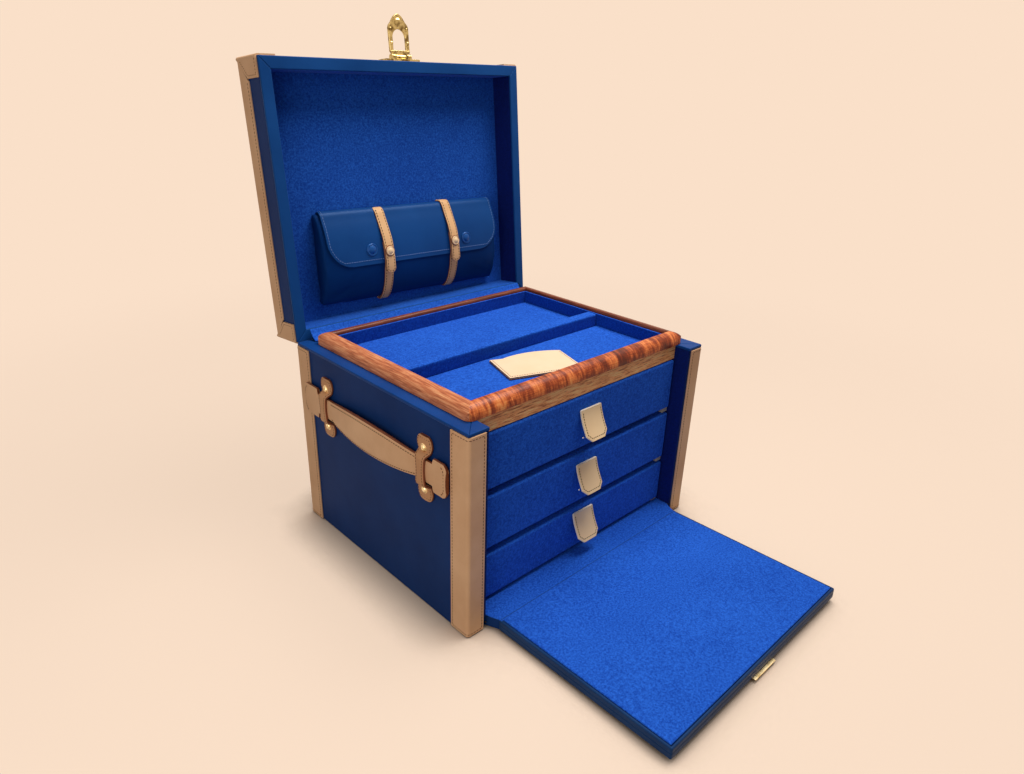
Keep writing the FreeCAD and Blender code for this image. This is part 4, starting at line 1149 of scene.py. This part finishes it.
lidRim = {"round": 0.8}
lidRimLow, lidRimHigh = nodeBox("lid_rim", lidTurn)
liner = {"thick": 1.5, "ceiling": 2.0, "round": 0.6}
linerLow, linerHigh = nodeBox("lid_lining", lidTurn)
innerX = linerHigh.x - liner["thick"]
innerY = linerHigh.y - liner["thick"]
outerX, outerY = lidRimHigh.xy
lidRimShape = Shape(lidTurn)
frontStrip = [(-innerX, -innerY), (-outerX, -outerY), (outerX, -outerY), (innerX, -innerY)]
sideStrip = [(innerX, -innerY), (outerX, -outerY), (outerX, outerY), (innerX, innerY)]
otherStrip = [(-x, y) for x, y in sideStrip[::-1]]
for outline in (frontStrip, backOutline(innerX, innerY, outerX, outerY), sideStrip, otherStrip):
    lidRimShape.prism(outline, lidRimLow.z, lidRimHigh.z, lidRim["round"])
makePiece("lid_rim_leather", lidRimShape, [lidRimLeather], "lid", ["lid_rim"])

lidSuede = Shape(lidTurn)
ceilingZ = linerHigh.z - liner["ceiling"]
lidSuede.block((linerLow.x, linerLow.y, ceilingZ), linerHigh, liner["round"])
for sign in (-1, 1):
    x = sorted((sign * innerX, sign * linerHigh.x))
    y = sorted((sign * innerY, sign * linerHigh.y))
    far = (x[1], linerHigh.y, ceilingZ)
    # the side walls take the near-black suede: painted shade
    lidSuede.block((x[0], linerLow.y, linerLow.z), far, liner["round"], finish=1)
    lidSuede.block((-innerX, y[0], linerLow.z), (innerX, y[1], ceilingZ), liner["round"])
makePiece("lid_suede", lidSuede, [paintedShadeLidSuede, paintedShadeSideSuede], "lid", ["lid_lining"])

edging = {
    "thick": 1.2, "leg": 17.0, "round": 3.0, "capLeg": 18.5, "capThick": 1.5, "capRound": 2.6,
    "capFlat": 2.0, "gap": 0.25, "soft": 0.3, "stitchIn": 2.2,
    "capThread": {"pitch": 2.6, "long": 1.8, "wide": 0.5},
}
coverLow, coverHigh = nodeBox("lid_leather", lidTurn)
edgeShape = Shape()
edgeStitches = Shape()
capShape = Shape()


def lidEdge(halfLength, offset, turn):
    # strip along +X at the face y = -offset, its ends mitred towards the corners
    thick = edging["thick"]
    leg = edging["leg"]
    outerY = -offset - thick
    outerZ = coverHigh.z + thick
    rounding = edging["round"]
    soft = edging["soft"]
    innerY = leg - offset
    footZ = coverHigh.z - leg
    section = [(outerY + soft, footZ), (outerY, footZ + soft)]
    section += arcLine((outerY + rounding, outerZ - rounding), rounding, 180, 90, 6)
    section += [(innerY - soft, outerZ), (innerY, outerZ - soft), (innerY, coverHigh.z)]
    section += [(-offset, coverHigh.z), (-offset, footZ)]

    def reach(y, z):
        down = max(outerZ - z, 0) / (leg + thick)
        inward = max(y - outerY, 0)
        full = halfLength + thick - edging["gap"]
        side = full - (edging["capLeg"] + thick) * min(down, 1)
        return min(side, full - inward) if z > coverHigh.z - 0.01 else side

    edgeShape.turn = edgeStitches.turn = lidTurn @ turn
    rings = [[(sign * reach(y, z), y, z) for y, z in section] for sign in (-1, 1)]
    edgeShape.loft(rings)
    low = footZ + edging["stitchIn"]
    length = halfLength - edging["capLeg"] - 1
    out = Vector((0, -1, 0))
    edgeStitches.stitch([(Vector((-length, outerY, low)), out), (Vector((length, outerY, low)), out)])
    sewnY = innerY - edging["stitchIn"]
    length = halfLength - leg
    edgeStitches.stitch([(Vector((-length, sewnY, outerZ)), up), (Vector((length, sewnY, outerZ)), up)])


for quarter in range(4):
    turn = Matrix.Rotation(math.radians(90 * quarter), 4, "Z")
    size = (coverHigh.x, coverHigh.y) if quarter % 2 == 0 else (coverHigh.y, coverHigh.x)
    lidEdge(*size, turn)
makePiece("lid_edge_leather", edgeShape, [tanLeather], "lid", ["lid_edge_trims"])


def lidCap(turn):
    thick = edging["capThick"]
    leg = edging["capLeg"]
    cornerX = -coverHigh.x - thick
    cornerY = -coverHigh.y - thick
    outline = angleOutline(cornerX, cornerY, leg, leg, thick, edging["capRound"])
    top = coverHigh.z + edging["thick"] - edging["gap"]

    def ceilingAt(x, y):
        flat = edging["capFlat"]
        far = max(x - cornerX, y - cornerY) if min(x - cornerX, y - cornerY) <= thick + 0.01 else 0
        return top - (edging["leg"] + edging["thick"]) * min(max(far - flat, 0) / (leg - flat), 1)

    capShape.turn = edgeStitches.turn = lidTurn @ turn
    low = coverLow.z
    rings = [[(x, y, low) for x, y in outline], [(x, y, ceilingAt(x, y)) for x, y in outline]]
    capShape.loft(rings)
    inset = edging["stitchIn"]
    for face in (0, 1):
        def at(far, z):
            return Vector((cornerX, cornerY + far, z)) if face == 0 else Vector((cornerX + far, cornerY, z))

        out = Vector((-1, 0, 0)) if face == 0 else Vector((0, -1, 0))
        endZ = top - edging["leg"] - edging["thick"]
        side = leg - inset
        route = [at(4, top - 7), at(side, endZ - 1), at(side, low + inset), at(3, low + inset)]
        for a, b in zip(route, route[1:]):
            edgeStitches.stitch([(a, out), (b, out)], **edging["capThread"])


for turn in (upright, mirrorX, mirrorY, mirrorX @ mirrorY):
    lidCap(turn)
makePiece("lid_corner_leather", capShape, [tanLeather], "lid", ["lid_corner_trims"])
makePiece("lid_stitching", edgeStitches, [tanThread], "lid", even=False)

gusset = {"thick": 0.9, "sag": 0.8, "footIn": (0.6, 0.5), "headIn": (0.8, 0.3)}
gusLow, gusHigh = nodeBox("lid_gusset")
foot = Vector((0, gusLow.y + gusset["footIn"][0], gusLow.z + gusset["footIn"][1]))
head = Vector((0, gusHigh.y - gusset["headIn"][0], gusHigh.z - gusset["headIn"][1]))
middle = (foot + head) / 2 + Vector((0, gusset["sag"], -gusset["sag"]))
gusTrace = Trace(smoothLine([foot, middle, head], 8))
gusShape = Shape()
places = stations(gusTrace.length, 1.0)
gusShape.band(gusTrace, lambda s: gusHigh.x, gusset["thick"], (-1, 0, 0), places, cutFinish=0)
gusPiece = makePiece("lid_gusset_suede", gusShape, [blueSuede], None, ["lid_gusset"])
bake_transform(gusPiece)
print("lid covered")


# latch

dressNode("latch_plate", brass, 0.35)
dressNode("latch_pin", brass)
hasp = {
    "half": 11.2, "slotHalf": 7.4, "slotTop": 17.0, "foot": 4.4, "front": 0.3, "back": 2.4, "soft": 0.6,
    "sillFront": 0.9, "sillBack": 1.6, "sillSoft": 0.4, "barrel": 2.2, "barrelHalf": 5.8, "knobZ": 30.2,
    "beadX": 9.3, "beadZ": (12.0, 24.2), "sunk": 0.1,
}
haspPlace = Matrix.Translation(Vector(joints["hasp_hinge"]["pos_m"]) / mm)
haspTurn = haspPlace @ Matrix.Rotation(math.radians(lidOpen + 90), 4, "X")
# drawn flat, then stood up facing the front
haspFrame = Matrix(((1, 0, 0, 0), (0, 0, -1, 0), (0, 1, 0, 0), (0, 0, 0, 1)))
haspShape = Shape(haspTurn @ haspFrame)
roofRight = [(11.5, 25.4), (10.6, 28.0), (8.2, 30.4), (6.6, 32.8), (4.6, 35.4), (2.2, 37.2), (0, 37.8)]
roof = [(hasp["half"], hasp["foot"])] + roofRight + [(-x, z) for x, z in roofRight[-2::-1]]
roof += [(-hasp["half"], hasp["foot"]), (-hasp["slotHalf"], hasp["foot"])]
roof += arcLine((0, hasp["slotTop"]), hasp["slotHalf"], 180, 0, 14) + [(hasp["slotHalf"], hasp["foot"])]
haspShape.prism(roof, -hasp["back"], hasp["front"], hasp["soft"])
sillRight = [(5.6, 1.4), (6.4, 2.6), (11.0, 3.6), (11.0, 5.9)]
sill = sillRight + [(-x, z) for x, z in sillRight[::-1]]
haspShape.prism(sill, -hasp["sillBack"], hasp["sillFront"], hasp["sillSoft"])
haspShape.turn = haspTurn
knob = [(5.4, -0.2), (5.4, 0.5), (4.8, 0.8), (4.2, 0.95), (3.8, 1.3), (2.4, 1.7), (0, 1.8)]
haspShape.lathe(knob, (0, hasp["back"] - hasp["sunk"], hasp["knobZ"]), (0, 1, 0))
boss = [(3.8, -0.2), (3.8, 0.4), (3.0, 1.0), (1.6, 1.4), (0, 1.5)]
haspShape.lathe(boss, (0, hasp["sunk"] - hasp["front"], hasp["knobZ"]), (0, -1, 0))
bead = [(1.6, -0.2), (1.6, 0.4), (1.1, 0.75), (0, 0.85)]
for x in (-hasp["beadX"], hasp["beadX"]):
    for z in hasp["beadZ"]:
        haspShape.lathe(bead, (x, -hasp["front"], z), (0, -1, 0), steps=16)
barrel = hasp["barrel"]
reach = hasp["barrelHalf"]
roll = [(barrel - 0.3, 0), (barrel, 0.3), (barrel, 2 * reach - 0.3), (barrel - 0.3, 2 * reach)]
haspShape.lathe(roll, (-reach, 0, 0), (1, 0, 0))
makePiece("latch_hasp_arch", haspShape, [brass], "hasp", ["latch_hasp"])
print("latch fitted")


# pouch with its flap, studs and straps, drawn with the lid shut

bag = {
    "middle": 5.5, "half": 112.0, "top": 13.2, "bottom": 102.6, "rimDeep": 7.0, "belly": 12.4, "turn": 1.2,
    "endDeep": 0.86, "endRound": 18.0, "endRings": (1.2, 3, 6, 10, 15), "evenFrom": 20.0, "edgeRound": 4.0,
    "dent": 1.6, "brim": 0.6, "lower": 6.0, "glued": 2.0, "voxel": 2.6, "pressure": 4.0, "cap": 1.2,
    "frames": 20,
}
bagBack = nodeBox("pouch_body", lidTurn)[1].z
bagCentre = Vector((bag["middle"], (bag["top"] + bag["bottom"]) / 2, bagBack))
bagSwing = Matrix.Rotation(math.radians(bag["turn"]), 4, "Z")
bagTurn = lidTurn @ Matrix.Translation(bagCentre) @ bagSwing @ Matrix.Translation(-bagCentre)


def bagFace(y):
    # front of the stuffed pouch, fullest halfway down
    fullest = bagCentre.y + bag["lower"]
    end = bag["bottom"] if y > fullest else bag["top"]
    share = (y - fullest) / (end - fullest)
    return bagBack - bag["rimDeep"] - bag["belly"] * max(0, 1 - share ** 2.2)


def bagRing(x, fromEnd, shrink=1.0):
    swell = math.sin(min(fromEnd / bag["endRound"], 1) * math.pi / 2)
    full = bag["endDeep"] + (1 - bag["endDeep"]) * swell
    front = []
    back = []
    for k in range(19):
        share = 0.5 - 0.5 * math.cos(math.pi * k / 18)
        reach = (bag["bottom"] - bag["top"]) * shrink
        y = bagCentre.y + reach * (share - 0.5)
        edge = min(y - bag["top"], bag["bottom"] - y)
        turn = math.sqrt(max(1 - (1 - min(edge / bag["edgeRound"], 1)) ** 2, 0.1))
        depth = (bagBack - bagFace(y)) * full
        middle = bagBack - depth / 2
        front.append(Vector((x, y, middle - depth / 2 * turn * shrink)))
        back.append(Vector((x, y, middle + depth / 2 * turn * shrink)))
    return front + back[::-1]


def bagRings():
    low = bag["middle"] - bag["half"]
    high = bag["middle"] + bag["half"]
    begin = bag["evenFrom"]
    inner = [begin + (high - low - 2 * begin) * k / 30 for k in range(31)]
    rings = [bagRing(low + bag["dent"], 0, 0.6), bagRing(low + bag["brim"], 0, 0.9)]
    rings += [bagRing(low + step, step) for step in bag["endRings"]]
    rings += [bagRing(low + step, begin) for step in inner]
    rings += [bagRing(high - step, step) for step in bag["endRings"][::-1]]
    return rings + [bagRing(high - bag["brim"], 0, 0.9), bagRing(high - bag["dent"], 0, 0.6)]


def puffUp(piece, turn):
    evenMesh = piece.modifiers.new("evenMesh", "REMESH")
    evenMesh.mode = "VOXEL"
    evenMesh.voxel_size = bag["voxel"] * mm
    graph = bpy.context.evaluated_depsgraph_get()
    piece.data = bpy.data.meshes.new_from_object(piece.evaluated_get(graph))
    piece.modifiers.clear()
    start = [vertex.co.copy() for vertex in piece.data.vertices]
    backZ = bagBack - bag["glued"]
    toShut = turn.inverted()
    held = [i for i, co in enumerate(start) if (toShut @ (co / mm)).z > backZ]
    group = piece.vertex_groups.new(name="glued")
    group.add(held, 1.0, "REPLACE")
    air = piece.modifiers.new("air", "CLOTH")
    air.settings.use_pressure = True
    air.settings.uniform_pressure_force = bag["pressure"]
    air.settings.effector_weights.gravity = 0
    air.settings.vertex_group_mass = group.name
    air.point_cache.frame_end = bag["frames"] + 5
    for number in range(1, bag["frames"] + 1):
        bpy.context.scene.frame_set(number)
    graph = bpy.context.evaluated_depsgraph_get()
    blown = bpy.data.meshes.new_from_object(piece.evaluated_get(graph))
    piece.modifiers.clear()
    for vertex, moved, was in zip(piece.data.vertices, blown.vertices, start):
        shift = moved.co - was
        shift.length = min(shift.length, bag["cap"] * mm)
        vertex.co = was + shift
    bpy.data.meshes.remove(blown)
    piece.vertex_groups.clear()
    bpy.context.scene.frame_set(1)
    smooth = piece.modifiers.new("smoothed", "SUBSURF")
    smooth.levels = smooth.render_levels = 1


bagShape = Shape(bagTurn)
bagShape.loft(bagRings())
bagPiece = makePiece("pouch", bagShape, [paintedShadePouchLeather], None, ["pouch_body"], even=False)
puffUp(bagPiece, lidTurn)
bagPiece.data.materials.clear()
bagPiece.data.materials.append(paintedShadePouchLeather)
bagPiece.data.shade_smooth()
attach(bagPiece, "lid")

flap = {
    "thick": 1.5, "corner": 26.0, "end": 65.5, "middle": 7.0, "half": 108.0, "lift": 0.95,
    "restsAt": (28, 37, 46, 55), "stitchIn": 2.4, "stitchLift": 0.12,
    "thread": {"pitch": 2.8, "long": 1.9, "wide": 0.75, "tall": 0.45},
}
edge = bag["top"]
flapPoints = [(edge + 4.0, bagBack - 0.9), (edge + 0.4, bagBack - 1.5), (edge - 1.2, bagBack - 3.8)]
flapPoints += [(edge - 0.9, bagBack - 6.6), (edge + 1.4, bagFace(edge + 1.4) - 1.4)]
flapPoints += [(y, bagFace(y) - flap["lift"]) for y in (edge + 7, *flap["restsAt"])]
flapPoints += [(flap["end"], bagFace(flap["end"]) - flap["lift"] - 0.2)]
flapTrace = Trace(smoothLine([(flap["middle"], y, z) for y, z in flapPoints], 10))


def flapHalfAt(s, inset=0.0):
    return roundedHalf(flap["half"] - inset, flap["corner"] - inset, flapTrace.length - inset - s)


flapShape = Shape(bagTurn)
flapPlaces = stations(flapTrace.length, 1.8, 0, flap["corner"])
flapShape.band(flapTrace, flapHalfAt, flap["thick"], (1, 0, 0), flapPlaces)
flapFinishes = [flapLeather, flapLeather]
flapPiece = makePiece("pouch_flap_leather", flapShape, flapFinishes, "lid", ["pouch_flap"])
sew = Shape(bagTurn)
sewn = [s for s in flapPlaces if s < flapTrace.length - flap["stitchIn"]]
lift = flap["thick"] / 2 + flap["stitchLift"]
left, right = edgeRoute(flapTrace, lambda s: flapHalfAt(s, flap["stitchIn"]), (1, 0, 0), lift, sewn)
sew.stitch(left + right[::-1], **flap["thread"])
makePiece("pouch_flap_stitching", sew, [blueThread], "lid", even=False)

stud = {"radius": 6.2, "height": 2.6, "lift": 1.6}
# section of a press stud, in shares of its radius and height
ring = [(1.0, -0.3), (1.0, 0.35), (0.9, 0.62), (0.78, 0.6), (0.72, 0.5)]
ring += [(0.64, 0.62), (0.48, 0.88), (0.25, 1.0), (0, 1.02)]
studLow, studHigh = nodeBox("pouch_snaps", lidTurn)
studY = (studLow.y + studHigh.y) / 2
studShape = Shape(bagTurn)
for x in (studLow.x + stud["radius"], studHigh.x - stud["radius"]):
    profile = [(stud["radius"] * r, stud["height"] * h) for r, h in ring]
    studShape.lathe(profile, (x, studY, bagFace(studY) - stud["lift"]), (0, 0, -1))
makePiece("pouch_press_studs", studShape, [paintedLightStudLeather], "lid", ["pouch_snaps"])

strap = {
    "wide": 11.0, "thick": 1.8, "tipRound": 4.6, "studRadius": 4.7, "studHeight": 2.6, "studBack": 22.0,
    "washer": 0.8, "overFlap": 2.9, "overLower": 4.8, "tipLift": 5.4, "riseFrom": 22.0, "riseTo": 3.0,
    "onBody": 1.15, "restsAt": (79, 88, 96), "stitchIn": 1.7, "stitchFrom": 9.0, "stitchLift": 0.1,
    "thread": {"pitch": 3.0, "long": 2.1, "wide": 1.05, "tall": 0.55},
}
lowerLow, lowerHigh = nodeBox("lower_straps", lidTurn)
lowerStraps = Shape(lidTurn)
lowerStitches = Shape(lidTurn)
strapFinishes = [strapLeather, burnishedEdge, paleLeather]
riseTo = lowerLow.y + strap["riseTo"]
for side in ("left", "right"):
    upLow, upHigh = nodeBox(side + "_upper_strap", lidTurn)
    x = (upLow.x + upHigh.x) / 2
    backY = upLow.y + strap["thick"] / 2
    root = upHigh.z - strap["thick"] / 2

    def laid(y, lift):
        return (x, y, bagFace(y) - lift)

    points = [(x, backY, root), (x, backY, root - 3.5), (x, backY + 0.2, root - 7.0)]
    points += [laid(backY + 3.4, strap["overFlap"] + 0.2)]
    steps = [backY + 9 + (upHigh.y - backY - 9.2) * k / 9 for k in range(10)]
    for y in steps:
        rise = min(max((y - strap["riseFrom"]) / (riseTo - strap["riseFrom"]), 0), 1)
        overhang = max(y - riseTo, 0) / (upHigh.y - riseTo)
        lift = strap["overFlap"] + (strap["overLower"] - strap["overFlap"]) * rise * rise * (3 - 2 * rise)
        points += [laid(y, lift + (strap["tipLift"] - strap["overLower"]) * overhang)]
    trace = Trace(smoothLine(points, 8))
    body = side + "_strap"
    upper = Shape(lidTurn)

    def tipHalf(s, inset=0.0):
        return roundedHalf(strap["wide"] / 2 - inset, strap["tipRound"] - inset, trace.length - inset - s)

    places = stations(trace.length, 1.5, 0, strap["tipRound"])
    upper.band(trace, tipHalf, strap["thick"], (1, 0, 0), places, 0.2)
    studAt = trace.length - strap["studBack"]
    studOut = trace.along(studAt).cross(Vector((1, 0, 0))).normalized()
    studBase = trace.point(studAt) + studOut * (strap["thick"] / 2)
    washer = strap["studRadius"] + strap["washer"]
    upper.lathe([(washer, -0.2), (washer, 0.35), (washer - 0.3, 0.5), (0, 0.5)], studBase, studOut, 1)
    upper.lathe([(strap["studRadius"] * r, strap["studHeight"] * h) for r, h in ring], studBase, studOut, 2)
    makePiece(body + "_leather", upper, strapFinishes, body, [side + "_upper_strap"])
    sew = Shape(lidTurn)
    sewn = [s for s in places if strap["stitchFrom"] < s < trace.length - strap["stitchIn"]]
    lift = strap["thick"] / 2 + strap["stitchLift"]
    left, right = edgeRoute(trace, lambda s: tipHalf(s, strap["stitchIn"]), (1, 0, 0), lift, sewn)
    sew.stitch(left + right[::-1], **strap["thread"])
    makePiece(body + "_stitching", sew, [paleThread], body, even=False)
    footY = lowerHigh.y - strap["thick"] / 2
    lowPoints = [laid(y, strap["overFlap"]) for y in (lowerLow.y, lowerLow.y + 9, flap["end"] - 2)]
    lowPoints += [laid(flap["end"] + 4.5, strap["onBody"] + 0.3)]
    lowPoints += [laid(y, strap["onBody"]) for y in strap["restsAt"]]
    lowPoints += [(x, footY - 1.2, bagBack - 7.2), (x, footY + 0.2, bagBack - 4.0)]
    lowPoints += [(x, footY, lowerHigh.z - 0.2)]
    lowTrace = Trace(smoothLine(lowPoints, 8))
    places = stations(lowTrace.length, 1.6)
    lowerStraps.band(lowTrace, lambda s: strap["wide"] / 2 - 0.2, strap["thick"], (1, 0, 0), places, 0.15)
    sewn = stations(lowTrace.length - 6, 1.8)
    for line in edgeRoute(lowTrace, lambda s: strap["wide"] / 2 - strap["stitchIn"], (1, 0, 0), lift, sewn):
        lowerStitches.stitch(line, **strap["thread"])
makePiece("lower_strap_leather", lowerStraps, strapFinishes, "lid", ["lower_straps"])
makePiece("lower_strap_stitching", lowerStitches, [paleThread], "lid", even=False)
print("pouch strapped in")


# floor, light and camera

studio = {
    "peach": paint(250, 224, 201), "fill": 0.12, "floorShow": 0.18, "fadeFrom": 0.3, "fadeTo": 1.1,
    "paintedShadow": paint(70, 56, 46), "paintedShadowReach": 0.06, "floorRadius": 2.5, "floorGap": 0.0004,
    "aim": Vector((0, -0.06, 0.15)),
}
lamps = {
    "key": {
        "towards": (0.38, -0.04, 0.9), "distance": 1.1, "size": 0.7, "strength": 0.5,
        "colour": (1, 0.98, 0.95),
    },
    "top": {
        "towards": (0.2, -0.02, 1.0), "distance": 1.1, "size": 0.8, "strength": 0.7,
        "colour": (1, 0.98, 0.96),
    },
    "left": {
        "towards": (-0.75, -0.29, 0.25), "distance": 0.84, "size": 0.7, "strength": 0.32,
        "colour": (1, 0.97, 0.93),
    },
}


def addFloor():
    bm = bmesh.new()
    bmesh.ops.create_circle(bm, cap_ends=True, segments=96, radius=studio["floorRadius"])
    mesh = bpy.data.meshes.new("floor")
    bm.to_mesh(mesh)
    bm.free()
    floor = bpy.data.objects.new("floor", mesh)
    floor.location.z = cadBox[0].z - studio["floorGap"]
    bpy.context.scene.collection.objects.link(floor)
    finish, g = newFinish("paleFloor")
    place = g.place()
    far = g.node("ShaderNodeVectorMath", {"operation": "LENGTH"}, {0: place}, "Value")
    fade = g.node("ShaderNodeMapRange", {"interpolation_type": "SMOOTHSTEP"}, {
        "Value": far, "From Min": studio["fadeFrom"], "From Max": studio["fadeTo"],
        "To Min": studio["floorShow"], "To Max": 0.0,
    })
    near = {"Distance": studio["paintedShadowReach"]}
    clear = g.node("ShaderNodeAmbientOcclusion", {"samples": 16}, near, "AO")  # painted shadow: the floor is darkened beside the case by ambient occlusion
    g.shade({
        "Base Color": g.mix(clear, studio["paintedShadow"], studio["peach"]),
        "Roughness": 0.9,
        "Specular IOR Level": 0.0,
        "Alpha": g.maths("MAXIMUM", fade, 1 - clear * clear * clear),
    })
    mesh.materials.append(finish)


def addWorld():
    world = bpy.data.worlds.new("studio")
    world.use_nodes = True
    bpy.context.scene.world = world
    g = Graph(world.node_tree)
    seen = g.node("ShaderNodeLightPath", output="Is Camera Ray")
    for ray in ("Is Glossy Ray", "Is Transmission Ray"):
        seen = g.maths("MAXIMUM", seen, g.node("ShaderNodeLightPath", output=ray))
    fill = g.node("ShaderNodeBackground", {}, {"Color": (1, 0.98, 0.96, 1), "Strength": studio["fill"]})
    shown = g.node("ShaderNodeBackground", {}, {"Color": studio["peach"], "Strength": 1.0})
    mixed = g.node("ShaderNodeMixShader", {}, {0: seen, 1: fill, 2: shown})
    g.node("ShaderNodeOutputWorld", {}, {"Surface": mixed})


def addLamp(name, values):
    light = bpy.data.lights.new(name, "AREA")
    light.energy = values["strength"] * (math.pi * values["distance"]) ** 2
    light.shape = "DISK"
    light.size = values["size"]
    light.color = values["colour"]
    lamp = bpy.data.objects.new(name, light)
    direction = Vector(values["towards"]).normalized()
    lamp.location = studio["aim"] + direction * values["distance"]
    lamp.rotation_mode = "QUATERNION"
    lamp.rotation_quaternion = direction.to_track_quat("Z", "Y")
    bpy.context.scene.collection.objects.link(lamp)


view = {
    "place": (-0.44606, -0.470652, 0.422047), "heading": 44.299, "down": 23.4714, "roll": 1.8591,
    "focalPixels": 718.864, "imageWide": 1024, "sensor": 36.0,
}


def addCamera():
    heading, down, roll = (math.radians(view[key]) for key in ("heading", "down", "roll"))
    flat = math.cos(down)
    ahead = Vector((math.sin(heading) * flat, math.cos(heading) * flat, -math.sin(down)))
    level = Vector((math.cos(heading), -math.sin(heading), 0))
    rise = level.cross(ahead)
    right = level * math.cos(roll) + rise * math.sin(roll)
    upwards = rise * math.cos(roll) - level * math.sin(roll)
    lens = bpy.data.cameras.new("camera")
    lens.sensor_fit = "HORIZONTAL"
    lens.sensor_width = view["sensor"]
    lens.lens = view["sensor"] * view["focalPixels"] / view["imageWide"]
    lens.clip_start = 0.01
    camera = bpy.data.objects.new("camera", lens)
    bpy.context.scene.collection.objects.link(camera)
    axes = Matrix((right, upwards, -ahead)).transposed().to_4x4()
    camera.matrix_world = Matrix.Translation(view["place"]) @ axes
    bpy.context.scene.camera = camera


addFloor()
addWorld()
for lampName, lampValues in lamps.items():
    addLamp(lampName, lampValues)
addCamera()
bpy.context.scene.view_settings.view_transform = "Standard"
print("floor, lamps and camera placed")
